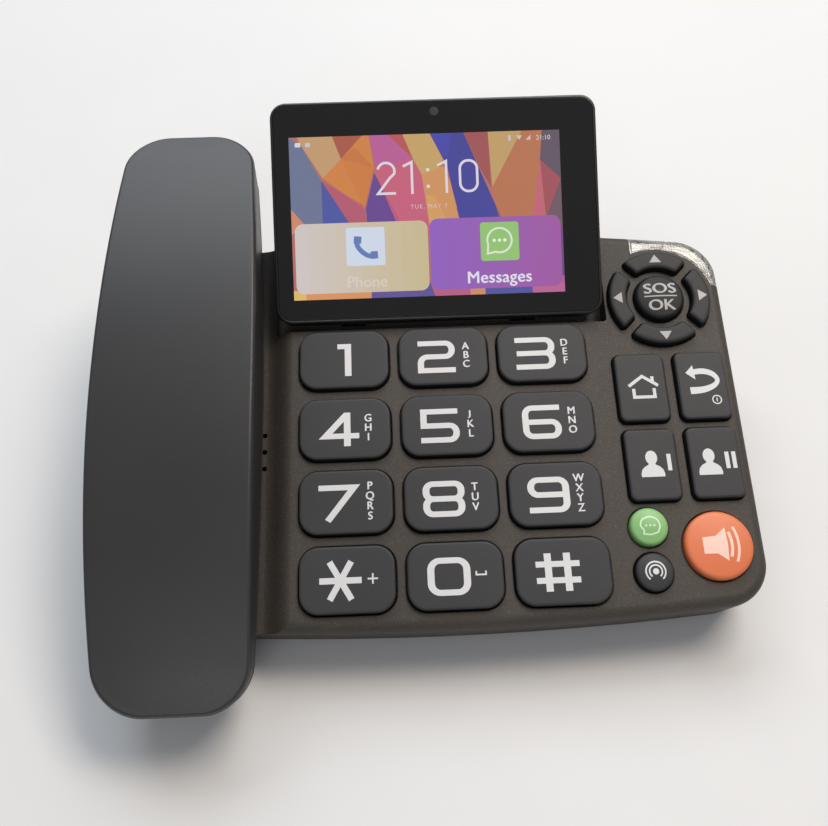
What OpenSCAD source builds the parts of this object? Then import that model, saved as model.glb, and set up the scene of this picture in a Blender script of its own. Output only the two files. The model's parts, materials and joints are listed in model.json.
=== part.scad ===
// Cordless desk phone: a wedge-shaped base with big keys, a tilting screen and a lift-off handset.
// The key panel is laid out flat, with X to the right, Y up the slope and Z out of the panel.
// on_panel() then tilts it and stands it on the table, at the middle of its overall box.

/* [Base] */
// Slope of the key panel above the table, degrees
panel_tilt = 16; // [15:1:17]
// Height of the panel datum above the table
panel_lift = 48; // [47:1:50]
// Left side of the base, under the handset
base_left = -54; // [-56:1:-53]
// Right side of the base
base_right = 138; // [138:1:141]
// Front edge of the base, at its middle
base_front = -94; // [-96:1:-94]
// Back edge of the base, at its middle
base_back = 35.7; // [35.7:0.5:38]
// How far the front edge bows out at the middle
front_bow = 4.5; // [3:0.5:5]
// How far the back edge bows out at the middle
back_bow = 6.7; // [5:0.5:7]
// Corner radius of the base outline
base_corner = 12; // [10:1:14]
// Rounding of the edge between panel and walls
edge_round = 3.5; // [3:0.5:4]
// Wall of the base shells
wall = 2.4; // [2:0.2:2.6]
// Height of the seam between the two base shells
seam_h = 9; // [8:1:10]
// Height of the rubber feet under the bottom shell
foot_h = 2; // [1.5:0.5:2]

/* [Keys] */
// Number key opening, across
key_w = 28.7; // [27:0.1:29]
// Number key opening, up the slope
key_h = 20.1; // [19:0.1:20.5]
// Distance between number keys, across
key_pitch_x = 31.3; // [31.3:0.1:31.6]
// Distance between number keys, up the slope
key_pitch_y = 22.95; // [22.95:0.05:23.2]
// Corner radius of the number keys
key_corner = 6; // [4:0.5:7]
// Height of the key caps above the panel
key_proud = 2.1; // [1.6:0.1:2.4]
// Gap between a key cap and its opening
key_gap = 0.35; // [0.3:0.05:0.45]
// How far a key travels
key_travel = 0.9; // [0.6:0.1:0.9]

/* [Navigation ring] */
// Centre of the ring, across
ring_x = 116.9; // [116.8:0.1:117]
// Centre of the ring, up the slope
ring_y = 7.9; // [7.5:0.1:8]
// Outer radius of the ring keys' openings
ring_r = 16.8; // [16:0.1:16.8]
// Inner radius of the ring keys' openings
ring_inner_r = 10.3; // [10.2:0.1:11]
// Radius of the centre key's opening
ok_r = 8.2; // [7.8:0.1:8.3]

/* [Screen] */
// Tilt of the screen above the panel, degrees
screen_tilt = 19.2; // [18:0.2:20]
// Width of the screen housing
screen_w = 104.2; // [103:0.2:104.4]
// Height of the screen housing
screen_h = 70.3; // [68:0.1:71]
// Thickness of the screen housing
screen_t = 9.5; // [9:0.5:10]
// Corner radius of the screen housing
screen_corner = 5; // [3:0.5:6]
// Width of the picture: 4 inch, 5:3
picture_w = 86.4; // [80:0.1:87]
// Height of the picture
picture_h = 51.84; // [48:0.01:52]

/* [Handset] */
// Middle line of the handset, across
hs_x = -34.5; // [-35:0.5:-34]
// Lower end of the handset
hs_front = -114.5; // [-115:0.5:-113]
// Upper end of the handset
hs_back = 69; // [67.5:0.5:70]
// Half width at the middle of the grip
hs_half_mid = 24.1; // [23:0.1:24.3]
// Half width on the left at the mouthpiece end
hs_left_front = 19.3; // [19:0.1:20]
// Half width on the left at the earpiece end
hs_left_back = 20.5; // [20:0.1:21]
// Half width on the right at the mouthpiece end
hs_right_front = 22.7; // [22:0.1:23]
// Half width on the right at the earpiece end
hs_right_back = 20; // [19.6:0.1:20.6]
// Height of the handset's back at the mouthpiece end, above the panel
hs_front_z = 8; // [7:0.5:9]
// Height of the handset's back at the earpiece end, above the panel
hs_back_z = 12; // [11:0.5:13]
// Height of the handset's back at the middle of the grip
hs_mid_z = 20.5; // [19:0.5:21]

/* [Hidden] */
$fn = 40;

// Colours
shell_grey = [0.16, 0.15, 0.14];
key_grey = [0.17, 0.17, 0.19];
board_green = [0.05, 0.28, 0.14];
metal = [0.75, 0.73, 0.68];

// Overall middle of the object in panel coordinates, so that the box stands centred on the origin
mid_x = (base_right + hs_x - hs_half_mid) / 2;
mid_y = 23.65;
deep = 90;          // deeper than the base is below its panel
big = 400;
soft = 0.02;        // a hair past a face, so that cuts go right through

// Base
base_mid_x = (base_left + base_right) / 2;
base_half_w = (base_right - base_left) / 2;
bottom_t = 2.4;
lip_t = 1.1;
lip_h = 2;

// Cradle: a trough under the handset with a deeper, open-ended rest at each end
trough_z = -5.4;
trough_in_x = -11;
trough_out_x = -2;
rest_z = -12.9;
rest_half_w = 17.6;
rest_front_y = -66;
rest_back_y = 20;

// Screen bay: the hollow that the screen's lower edge stands in
bay_x = [-7.6, 99.3];
bay_front_y = 0.9;
bay_z = -7.2;

// Indicator lens: its inner radius round the ring's centre, a reach that clears the base's corner,
// and where it starts
lens_r = [18.6, 28];
lens_start = [109.9, 12.6];

// Key rows
row_x = [for (i = [0:2]) key_w / 2 + i * key_pitch_x];
row_y = [for (i = [0:3]) -key_h / 2 - i * key_pitch_y];
cap_low_z = -4.6;
mat_top_z = cap_low_z - key_travel - 0.1;
mat_t = 1.4;
board_top_z = -8.2;
board_t = 1.6;
side_w = 16.3;
side_h = 23;
side_corner = 2.5;
side_x = [107.1, 126.2];
side_y = [-23, -48];
// Round keys: place across and up the slope, and the radius of their opening
round_keys = [[103.6, -66.9, 6.05], [103.5, -80.2, 5.95], [123.4, -73.2, 10.5]];
round_proud = 2.6;
round_bevel = 1.2;
ok_proud = 3.2;
ok_bevel = 1.4;
nav_proud = key_proud + 0.5;
// Half the gap between the openings of neighbouring ring keys
ring_half_gap = 1.2;

// Screen, in its own frame: X across, Y up the picture, Z out of the glass, origin at the picture's corner
screen_at = [-0.86, 9.04, 5.96];
screen_x0 = -5.8;
screen_y0 = -7.3;
hinge_y = -3;
hinge_z = -5.6;
hinge_r = 2.4;
pin_r = 1.25;
pin_gap = 0.05;
ear_w = 8;
hinge_at = [
    screen_at[0],
    screen_at[1] + hinge_y * cos(screen_tilt) - hinge_z * sin(screen_tilt),
    screen_at[2] + hinge_y * sin(screen_tilt) + hinge_z * cos(screen_tilt)
];
ears_x = [14, 70];
slot_gap = 0.4;
// Lugs of the screen's back cover on each side of a hinge ear: thickness and half height
lug_t = 2;
lug_half_h = 3.2;
glass_t = 0.8;
bezel_t = 4.2;
bezel_wall = 1.6;

// Handset
hs_mid_y = (hs_front + hs_back) / 2;
hs_half_len = (hs_back - hs_front) / 2;
hs_seam_z = -0.6;
hs_grip_z = -4.6;
hs_pad_z = -12.6;
hs_pad_half_w = 16.6;
hs_pads_y = [[-107, -68], [22, 60]];

// ---------- helpers ----------

// Panel frame to the frame that stands on the table
module on_panel() {
    translate([-mid_x, mid_y, panel_lift]) rotate([panel_tilt, 0, 0]) children();
}

// Everything above a height over the table
module above(h) {
    translate([-big / 2, -big / 2, h]) cube([big, big, big]);
}

// Screen frame to panel frame
module on_screen() {
    translate(screen_at) rotate([screen_tilt, 0, 0]) children();
}

// A flat rounded plate with true round corners
module plate(w, h, t, r) {
    translate([r, 0, 0]) cube([w - 2 * r, h, t]);
    translate([0, r, 0]) cube([w, h - 2 * r, t]);
    for (x = [r, w - r]) {
        for (y = [r, h - r]) {
            translate([x, y, 0]) cylinder(r = r, h = t);
        }
    }
}

// A plate that is centred across and up
module centred_plate(w, h, t, r) {
    translate([-w / 2, -h / 2, 0]) plate(w, h, t, r);
}

// Points of a rounded rectangle, with points along the long edges for the bow
function rounded(x0, y0, x1, y1, r, n, m) = concat(
    [for (i = [1:m]) [x0 + r + (x1 - x0 - 2 * r) * i / (m + 1), y0]],
    [for (i = [0:n]) [x1 - r + r * sin(90 * i / n), y0 + r - r * cos(90 * i / n)]],
    [for (i = [0:n]) [x1 - r + r * cos(90 * i / n), y1 - r + r * sin(90 * i / n)]],
    [for (i = [1:m]) [x1 - r - (x1 - x0 - 2 * r) * i / (m + 1), y1]],
    [for (i = [0:n]) [x0 + r - r * sin(90 * i / n), y1 - r + r * cos(90 * i / n)]],
    [for (i = [0:n]) [x0 + r - r * cos(90 * i / n), y0 + r - r * sin(90 * i / n)]]
);

// Bows the front and back edges of the base
function bowed(p) = [
    p[0],
    p[1] + (p[1] > (base_front + base_back) / 2 ? -back_bow : front_bow)
        * pow((p[0] - base_mid_x) / base_half_w, 2)
];

// Outline of the base, drawn in by d
function base_outline(d) = [
    for (p = rounded(base_left + d, base_front + d, base_right - d, base_back - d,
        base_corner - d, 10, 11)) bowed(p)
];

// Solid through a list of rings with the same number of points, lowest ring first
module loft(rings) {
    n = len(rings[0]);
    m = len(rings);
    sides = [
        for (k = [0:m - 2]) for (i = [0:n - 1])
            each [
                [k * n + i, (k + 1) * n + i, k * n + (i + 1) % n],
                [k * n + (i + 1) % n, (k + 1) * n + i, (k + 1) * n + (i + 1) % n]
            ]
    ];
    polyhedron(
        points = [for (r = rings) each r],
        faces = concat(
            sides,
            [[for (i = [0:n - 1]) i]],
            [[for (i = [0:n - 1]) (m - 1) * n + n - 1 - i]]
        )
    );
}

// ---------- openings in the panel ----------

// Quarter of a ring around the navigation centre, half_gap short of the next one on each side
module ring_sector(turn, r_in, r_out, half_gap, z0, z1) {
    translate([ring_x, ring_y, 0]) rotate([0, 0, turn]) intersection() {
        difference() {
            translate([0, 0, z0]) cylinder(r = r_out, h = z1 - z0);
            translate([0, 0, z0 - 1]) cylinder(r = r_in, h = z1 - z0 + 2);
        }
        rotate([0, 0, -45]) translate([half_gap, half_gap, z0 - 1])
            cube([r_out + 1, r_out + 1, z1 - z0 + 2]);
    }
}

module key_openings() {
    low = -wall - 6;
    tall = wall + 8;
    for (x = row_x) {
        for (y = row_y) {
            translate([x, y, low]) centred_plate(key_w, key_h, tall, key_corner);
        }
    }
    for (x = side_x) {
        for (y = side_y) {
            translate([x, y, low]) centred_plate(side_w, side_h, tall, side_corner);
        }
    }
    for (k = round_keys) {
        translate([k[0], k[1], low]) cylinder(r = k[2], h = tall);
    }
    translate([ring_x, ring_y, low]) cylinder(r = ok_r, h = tall);
    for (turn = [0:90:270]) {
        ring_sector(turn, ring_inner_r, ring_r, ring_half_gap, low, low + tall);
    }
}

// Trough profile: a smooth slope down from the panel to the cradle
function slope_z(s) = trough_z * (1 - cos(180 * s)) / 2;
trough_profile = concat(
    [[trough_out_x, 6], [trough_out_x, 0]],
    [
        for (i = [1:8])
            [trough_out_x + (trough_in_x - trough_out_x) * i / 8, slope_z(i / 8)]
    ],
    [[base_left - 10, trough_z], [base_left - 10, 6]]
);

module trough() {
    translate([0, base_back + 10, 0]) rotate([90, 0, 0])
        linear_extrude(base_back - base_front + 20) polygon(trough_profile);
}

module handset_rests(z, grow) {
    translate([hs_x - rest_half_w - grow, rest_back_y - grow, z])
        cube([2 * (rest_half_w + grow), 60, 30]);
    translate([hs_x - rest_half_w - grow, rest_front_y + grow - 60, z])
        cube([2 * (rest_half_w + grow), 60, 30]);
}

module screen_bay(z, grow) {
    translate([bay_x[0] - grow, bay_front_y - grow, z])
        cube([bay_x[1] - bay_x[0] + 2 * grow, 60, 30]);
}

// Curved band that the indicator lens fills, at the back right corner
module lens_band(grow, z0, z1) {
    intersection() {
        difference() {
            translate([ring_x, ring_y, z0]) cylinder(r = lens_r[1] + grow, h = z1 - z0);
            translate([ring_x, ring_y, z0 - 1]) cylinder(r = lens_r[0] - grow, h = z1 - z0 + 2);
        }
        translate([lens_start[0] - grow, lens_start[1] - grow, z0 - 1])
            cube([40, 40, z1 - z0 + 2]);
    }
}

// ---------- base ----------

// From a place across and along the table, in the panel's own axes, to the table frame
module on_table(x, y) {
    translate([x - mid_x, y + mid_y, 0]) children();
}

base_rings = [
    for (k = [[deep, 0], [edge_round, 0], [0.62 * edge_round, 0.08 * edge_round],
        [0.29 * edge_round, 0.29 * edge_round], [0.08 * edge_round, 0.62 * edge_round],
        [0, edge_round]])
        [for (p = base_outline(k[1])) [p[0], p[1], -k[0]]]
];

// Screw bosses, across and along the table, with the height of their tops
bosses = [[-46, -76, 11.5], [84, -79.5, 13], [-46, 34, 25], [96, 38.5, 25], [132.8, -66, 13.5]];
boss_r = 3.3;
thread_r = 1.2;
screw_gap_r = 1.7;
head_r = 2.9;
head_t = 1.4;
feet = [[-44, -66], [126, -60], [-44, 24.5], [116, 26]];
foot_r = 5.5;
foot_sink = 0.6;
door_x = [18, 84];
door_y = [-34, 14];
door_gap = 0.3;
socket_x = 60;
socket_z = -22;
socket_r = 2.75;

module base_cavity() {
    difference() {
        translate([0, 0, -deep - 1]) linear_extrude(deep + 1 - wall) polygon(base_outline(wall));
        translate([0.8 * wall, 0, -wall]) trough();
        handset_rests(rest_z - wall, wall);
        screen_bay(bay_z - wall, wall);
    }
}

grille_x = -22;
grille_y = -37.4;
grille_pitch = 5.4;

module grille_holes() {
    for (i = [-2:2]) {
        for (j = [-2:2]) {
            if (abs(i) + abs(j) < 4) {
                translate([grille_x + i * grille_pitch, grille_y + j * grille_pitch, -12])
                    cylinder(r = 0.8, h = 16, $fn = 16);
            }
        }
    }
}

// The hinge bracket's ears come up through these slots in the floor of the bay
module hinge_slots() {
    for (x = ears_x) {
        translate([hinge_at[0] + x - 0.2, hinge_at[1] - 2.4, bay_z - wall - 1])
            cube([ear_w + 0.4, 4.8, wall + 2]);
    }
}

hook_at = [hs_x, -12];
hook_size = [9, 5];
hook_gap = 0.3;
hook_low_z = -12;
hook_flange = 1.5;

module hook_hole() {
    translate([hook_at[0], hook_at[1], hook_low_z])
        centred_plate(hook_size[0] + 2 * hook_gap, hook_size[1] + 2 * hook_gap, -hook_low_z, 1.5);
}

pins_x = [-39.5, -29.5];
pins_y = -84;
charge_r = 1.1;

module charge_holes() {
    for (x = pins_x) {
        translate([x, pins_y, rest_z - wall - 1]) cylinder(r = charge_r + 0.15, h = wall + 2);
    }
}

module base_top_shell() {
    color(shell_grey) difference() {
        union() {
            intersection() {
                on_panel() difference() {
                    loft(base_rings);
                    base_cavity();
                    trough();
                    handset_rests(rest_z, 0);
                    screen_bay(bay_z, 0);
                    key_openings();
                    lens_band(0.05, -wall - 0.65, 4);
                    grille_holes();
                    hinge_slots();
                    hook_hole();
                    charge_holes();
                    translate([socket_x, base_back - 12, socket_z]) rotate([-90, 0, 0])
                        cylinder(r = socket_r + 0.6, h = 20);
                }
                above(seam_h);
            }
            for (b = bosses) {
                on_table(b[0], b[1]) translate([0, 0, foot_h + bottom_t + 0.1])
                    cylinder(r = boss_r, h = b[2] - foot_h - bottom_t);
            }
        }
        for (b = bosses) {
            on_table(b[0], b[1]) translate([0, 0, foot_h]) cylinder(r = thread_r, h = 7.5);
        }
    }
}

// Solid of the base between two heights over the table, drawn in by d
module base_slab(d, z0, z1) {
    intersection() {
        on_panel() translate([0, 0, -deep - 10]) linear_extrude(deep) polygon(base_outline(d));
        translate([-big / 2, -big / 2, z0]) cube([big, big, z1 - z0]);
    }
}

module door_plate(grow, z0, z1) {
    on_table(door_x[0] - grow, door_y[0] - grow) translate([0, 0, z0])
        cube([door_x[1] - door_x[0] + 2 * grow, door_y[1] - door_y[0] + 2 * grow, z1 - z0]);
}

module base_bottom_shell() {
    lip_out = wall + 0.1;
    color(shell_grey) difference() {
        union() {
            base_slab(0, foot_h, seam_h);
            base_slab(lip_out, foot_h, seam_h + lip_h);
        }
        difference() {
            base_slab(lip_out + lip_t, foot_h + bottom_t, seam_h + lip_h + 1);
            door_plate(2, foot_h, foot_h + bottom_t + 1.2);
        }
        // the cradle rests and the bosses reach down past the lip
        on_panel() handset_rests(rest_z - wall - 0.3, wall + 0.6);
        for (b = bosses) {
            on_table(b[0], b[1]) {
                translate([0, 0, foot_h + bottom_t]) cylinder(r = boss_r + 0.3, h = 20);
                translate([0, 0, foot_h - soft]) cylinder(r = screw_gap_r, h = bottom_t + 1);
                translate([0, 0, foot_h - soft]) cylinder(r = head_r + 0.2, h = head_t + soft);
            }
        }
        for (f = feet) {
            on_table(f[0], f[1]) translate([0, 0, foot_h - soft])
                cylinder(r = foot_r + 0.05, h = foot_sink + soft);
        }
        door_plate(door_gap, foot_h - 1, foot_h + bottom_t - 0.8);
        door_plate(-1.5, foot_h - 1, foot_h + bottom_t + 5);
    }
}

module battery_door() {
    color(shell_grey) union() {
        door_plate(0, foot_h, foot_h + bottom_t - 0.85);
        door_plate(-1.8, foot_h, foot_h + bottom_t);
    }
}

module rubber_feet() {
    color([0.08, 0.08, 0.08]) for (f = feet) {
        on_table(f[0], f[1]) cylinder(r = foot_r, h = foot_h + foot_sink);
    }
}

module base_screws() {
    color(metal) for (b = bosses) {
        on_table(b[0], b[1]) difference() {
            union() {
                translate([0, 0, foot_h + 0.1]) cylinder(r = head_r, h = head_t - 0.1);
                translate([0, 0, foot_h + head_t - soft]) cylinder(r = thread_r - 0.05, h = 5.8);
            }
            translate([0, 0, foot_h]) cylinder(r = 1.2, h = 0.8, $fn = 6);
        }
    }
}

// ---------- keys ----------

// Cap of a rectangular key with a bevelled top edge
module cap(w, h, r) {
    w1 = w - 2 * key_gap;
    h1 = h - 2 * key_gap;
    bevel = 0.7;
    translate([0, 0, cap_low_z]) centred_plate(w1, h1, key_proud - bevel - cap_low_z, r - key_gap);
    hull() {
        translate([0, 0, key_proud - bevel - soft]) centred_plate(w1, h1, soft, r - key_gap, $fn = 32);
        translate([0, 0, key_proud - soft])
            centred_plate(w1 - 2 * bevel, h1 - 2 * bevel, soft, r - key_gap - bevel, $fn = 32);
    }
}

// Cap of a round key: a cylinder with a coned edge
module round_cap(r, proud, bevel) {
    r1 = r - key_gap;
    translate([0, 0, cap_low_z]) cylinder(r = r1, h = proud - bevel - cap_low_z);
    translate([0, 0, proud - bevel]) cylinder(r1 = r1, r2 = r1 - bevel, h = bevel);
}

module number_key(col, row) {
    color(key_grey) on_panel() translate([row_x[col], row_y[row], 0]) cap(key_w, key_h, key_corner);
}

module side_key(col, row) {
    color(key_grey) on_panel() translate([side_x[col], side_y[row], 0]) cap(side_w, side_h, side_corner);
}

module nav_key(turn) {
    color(key_grey) on_panel()
        ring_sector(turn, ring_inner_r + key_gap, ring_r - key_gap, ring_half_gap + key_gap,
            cap_low_z, nav_proud);
}

module key_1() { number_key(0, 0); }
module key_2() { number_key(1, 0); }
module key_3() { number_key(2, 0); }
module key_4() { number_key(0, 1); }
module key_5() { number_key(1, 1); }
module key_6() { number_key(2, 1); }
module key_7() { number_key(0, 2); }
module key_8() { number_key(1, 2); }
module key_9() { number_key(2, 2); }
module key_star() { number_key(0, 3); }
module key_0() { number_key(1, 3); }
module key_hash() { number_key(2, 3); }
module home_key() { side_key(0, 0); }
module back_key() { side_key(1, 0); }
module contact_key_1() { side_key(0, 1); }
module contact_key_2() { side_key(1, 1); }
module nav_key_right() { nav_key(0); }
module nav_key_up() { nav_key(90); }
module nav_key_left() { nav_key(180); }
module nav_key_down() { nav_key(270); }

module round_key(i, tint) {
    k = round_keys[i];
    color(tint) on_panel() translate([k[0], k[1], 0]) round_cap(k[2], round_proud, round_bevel);
}

module green_key() { round_key(0, [0.25, 0.65, 0.32]); }
module dark_key() { round_key(1, key_grey); }
module speaker_key() { round_key(2, [0.9, 0.4, 0.2]); }

module ok_key() {
    color(key_grey) on_panel() translate([ring_x, ring_y, 0]) round_cap(ok_r, ok_proud, ok_bevel);
}

// ---------- inside the base ----------

// Outline shared by the key mat and the main board: a wide field under the number keys and a
// narrower one that runs up under the navigation ring, both clear of the base walls
field_x = [0, 92, 102.4, 130, 133.4];
field_y = [-88.8, -83, -1.8, 16, 25.2];

function key_field(d) = [
    [field_x[0] + d, field_y[0] + d], [field_x[1] - d, field_y[0] + d],
    [field_x[1] - d, field_y[1] + d], [field_x[4] - d, field_y[1] + d],
    [field_x[4] - d, field_y[3] - d], [field_x[3] - d, field_y[3] - d],
    [field_x[3] - d, field_y[4] - d], [field_x[2] + d, field_y[4] - d],
    [field_x[2] + d, field_y[2] - d], [field_x[0] + d, field_y[2] - d]
];

module key_sheet(z, t, d) {
    translate([0, 0, z]) linear_extrude(t) polygon(key_field(d));
}

module key_mat() {
    color([0.6, 0.6, 0.58]) on_panel() key_sheet(mat_top_z - mat_t, mat_t, 0);
}

module main_board() {
    color(board_green) on_panel() {
        key_sheet(board_top_z - board_t, board_t, 0.5);
        translate([30, -60, board_top_z - board_t - 1.8]) cube([22, 22, 1.8]);
        translate([66, -48, board_top_z - board_t - 1.4]) cube([14, 14, 1.4]);
        translate([90, -72, board_top_z - board_t - 2.4]) cube([26, 18, 2.4]);
    }
}

module base_battery() {
    color([0.2, 0.35, 0.6]) on_table(20, -32) translate([0, 0, foot_h + bottom_t + 2]) cube([62, 44, 9]);
}

module loudspeaker() {
    color([0.12, 0.12, 0.12]) on_panel() translate([grille_x, grille_y, trough_z - wall - 0.2]) {
        mirror([0, 0, 1]) {
            difference() {
                cylinder(r = 15, h = 3);
                translate([0, 0, -soft]) cylinder(r = 12.5, h = 1);
            }
            translate([0, 0, 3 - soft]) cylinder(r1 = 13, r2 = 8, h = 3);
            translate([0, 0, 6 - 2 * soft]) cylinder(r = 8, h = 3.5);
        }
    }
}

module antenna() {
    color([0.7, 0.5, 0.25]) on_panel() translate([100, -20, -28]) {
        cube([32, 38, 0.8]);
        translate([2, 2, 0.8 - soft]) cube([28, 2, 0.4]);
        translate([2, 34, 0.8 - soft]) cube([28, 2, 0.4]);
    }
}

module power_socket() {
    color([0.1, 0.1, 0.1]) on_panel() difference() {
        y1 = bowed([socket_x + 5, base_back])[1] - wall - 0.2;
        translate([socket_x - 5, y1 - 12, socket_z - 5]) cube([10, 12, 10]);
        translate([socket_x, y1 - 10, socket_z]) rotate([-90, 0, 0]) cylinder(r = socket_r, h = 11);
    }
}

module indicator_lens() {
    color([0.9, 0.92, 0.9, 0.6]) on_panel() intersection() {
        lens_band(0, -wall - 0.6, 2);
        loft(base_rings);
    }
}

module indicator_board() {
    led_orbit = 19.9;
    color([0.9, 0.9, 0.85]) on_panel() {
        intersection() {
            lens_band(-0.6, -wall - 2.2, -wall - 1.2);
            translate([0, 0, -wall - 3]) linear_extrude(3) polygon(base_outline(wall + 0.4));
        }
        for (a = [36:16:84]) {
            translate([ring_x + led_orbit * cos(a), ring_y + led_orbit * sin(a), -wall - 1.2 - soft])
                translate([-0.8, -0.8, 0]) cube([1.6, 1.6, 0.5]);
        }
    }
}

module hook_plunger() {
    color(key_grey) on_panel() translate([hook_at[0], hook_at[1], 0]) {
        translate([0, 0, hook_low_z])
            centred_plate(hook_size[0], hook_size[1], hs_grip_z - 0.3 - hook_low_z, 1.2);
        translate([0, 0, hook_low_z - 2])
            centred_plate(hook_size[0] + 2 * hook_flange, hook_size[1] + 2 * hook_flange, 2, 1.2);
    }
}

module charge_pins() {
    under = rest_z - wall;
    color([0.85, 0.65, 0.3]) on_panel() for (x = pins_x) {
        translate([x, pins_y, under - 2.5]) cylinder(r = charge_r, h = hs_pad_z - 0.15 - under + 2.5);
        translate([x, pins_y, under - 1.6]) cylinder(r = charge_r + 0.7, h = 1);
    }
}

// ---------- screen ----------

bracket_t = 1.5;
bracket_margin = 6;

module hinge_bracket() {
    plate_top = bay_z - wall - 0.05;
    color(metal) on_panel() difference() {
        union() {
            translate([hinge_at[0] + ears_x[0] - bracket_margin, hinge_at[1] - bracket_margin,
                plate_top - bracket_t])
                cube([ears_x[1] - ears_x[0] + ear_w + 2 * bracket_margin, 2 * bracket_margin, bracket_t]);
            for (x = ears_x) {
                translate([hinge_at[0] + x, hinge_at[1] - 2, plate_top - soft])
                    cube([ear_w, 4, hinge_at[2] - plate_top + soft]);
                translate([hinge_at[0] + x, hinge_at[1], hinge_at[2]]) rotate([0, 90, 0])
                    cylinder(r = hinge_r, h = ear_w);
            }
        }
        for (x = ears_x) {
            translate([hinge_at[0] + x - 1, hinge_at[1], hinge_at[2]]) rotate([0, 90, 0])
                cylinder(r = pin_r + pin_gap, h = ear_w + 2);
        }
    }
}

// Both pins are held by the screen's back cover and turn in the bracket's ears
module hinge_pin() {
    color(metal) on_panel() for (x = ears_x) {
        translate([hinge_at[0] + x - slot_gap - lug_t + 0.1, hinge_at[1], hinge_at[2]])
            rotate([0, 90, 0]) cylinder(r = pin_r, h = ear_w + 2 * slot_gap + 2 * lug_t - 0.2);
    }
}

module screen_plate(d, z0, z1, r) {
    translate([screen_x0 + d, screen_y0 + d, z0])
        plate(screen_w - 2 * d, screen_h - 2 * d, z1 - z0, r);
}

glass_in = 0.9;
camera_x = 46.6;
camera_y = 59;

module screen_bezel() {
    color([0.1, 0.1, 0.11]) on_panel() on_screen() difference() {
        screen_plate(0, -bezel_t, 0, screen_corner);
        screen_plate(glass_in, -glass_t, 1, screen_corner - glass_in);
        screen_plate(bezel_wall, -bezel_t - 1, -glass_t - 0.8, screen_corner - bezel_wall);
        translate([-0.6, -0.6, -bezel_t - 1]) cube([picture_w + 1.2, picture_h + 1.2, 6]);
        translate([camera_x, camera_y, -bezel_t - 1]) cylinder(r = 3, h = 6);
    }
}

module screen_glass() {
    color([0.05, 0.05, 0.06]) on_panel() on_screen()
        screen_plate(glass_in + 0.1, -glass_t, -0.02, screen_corner - glass_in - 0.1);
}

module lcd_panel() {
    color([0.35, 0.3, 0.6]) on_panel() on_screen() {
        translate([-0.5, -0.5, -3]) cube([picture_w + 1, picture_h + 1, 3 - glass_t - 0.02]);
        translate([-2, -2, -3]) cube([picture_w + 6, picture_h + 4, 1.2]);
    }
}

module screen_board() {
    color(board_green) on_panel() on_screen() {
        translate([0, 4, -6]) cube([92, 51.5, 1.2]);
        translate([20, 14, -7.4]) cube([16, 16, 1.4 + soft]);
        translate([52, 20, -7]) cube([12, 12, 1 + soft]);
    }
}

module camera() {
    color([0.12, 0.12, 0.14]) on_panel() on_screen() translate([camera_x, camera_y, 0]) {
        translate([0, 0, -4.1]) cylinder(r = 2.7, h = 4.1 - glass_t - 0.05);
        translate([-4, -3, -5.4]) cube([8, 5, 1.3 + soft]);
    }
}

screen_screw_at = [[-1.5, -3], [94, -3], [-1.5, 59], [94, 59]];

module screen_back() {
    round_r = 2;
    color([0.1, 0.1, 0.11]) on_panel() on_screen() difference() {
        union() {
            difference() {
                union() {
                    screen_plate(0, -screen_t + round_r, -bezel_t - 0.03, screen_corner);
                    hull() {
                        screen_plate(0, -screen_t + round_r, -screen_t + round_r + soft, screen_corner,
                            $fn = 32);
                        screen_plate(round_r, -screen_t, -screen_t + soft, screen_corner - round_r,
                            $fn = 32);
                    }
                }
                screen_plate(bezel_wall, -screen_t + 1.8, -bezel_t + 1, screen_corner - bezel_wall);
            }
            for (x = ears_x) {
                translate([x - slot_gap - lug_t, hinge_y - lug_half_h, -screen_t + 1])
                    cube([ear_w + 2 * (slot_gap + lug_t), 2 * lug_half_h, screen_t - 1 - bezel_t - 0.05]);
            }
            for (p = screen_screw_at) {
                translate([p[0], p[1], -screen_t + 1]) cylinder(r = 2.4, h = screen_t - 1 - bezel_t - 0.05);
            }
        }
        for (x = ears_x) {
            translate([x - slot_gap, screen_y0 - 1, -screen_t - 1])
                cube([ear_w + 2 * slot_gap, hinge_y - screen_y0 + 1 + 3.4, screen_t + 1 - bezel_t + 1]);
            translate([x - slot_gap - lug_t - 0.1, hinge_y, hinge_z]) rotate([0, 90, 0])
                cylinder(r = pin_r, h = ear_w + 2 * (slot_gap + lug_t) + 0.2);
        }
        for (p = screen_screw_at) {
            translate([p[0], p[1], -screen_t - 1]) cylinder(r = 0.9, h = screen_t);
            translate([p[0], p[1], -screen_t - 1]) cylinder(r = 1.9, h = 2.2);
        }
        for (i = [0:7]) {
            translate([36 + i * 3, 44, -screen_t - 1]) centred_plate(1.2, 10, 4, 0.5);
        }
    }
}

module screen_screws() {
    color(metal) on_panel() on_screen() for (p = screen_screw_at) {
        translate([p[0], p[1], -screen_t + 0.4]) difference() {
            union() {
                cylinder(r = 1.8, h = 0.8);
                cylinder(r = 0.85, h = screen_t - bezel_t - 0.6);
            }
            translate([0, 0, -soft]) cylinder(r = 0.8, h = 0.5, $fn = 6);
        }
    }
}

// ---------- handset ----------

hs_corner = 13;
hs_wall = 2.2;
// How far the walls lean in between the back's edge and the seam
hs_draft = 0.8;
corner_steps = 9;
side_steps = 9;

function hs_s(y) = (y - hs_mid_y) / hs_half_len;
// A value that is mid at the middle and falls off to front or back at the ends
function hs_fade(y, mid, front, back) = mid - (mid - (y < hs_mid_y ? front : back)) * pow(hs_s(y), 2);
function hs_half(y, side) = side < 0
    ? hs_fade(y, hs_half_mid, hs_left_front, hs_left_back)
    : hs_fade(y, hs_half_mid, hs_right_front, hs_right_back);
function hs_top(y) = hs_fade(y, hs_mid_z, hs_front_z, hs_back_z);

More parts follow.
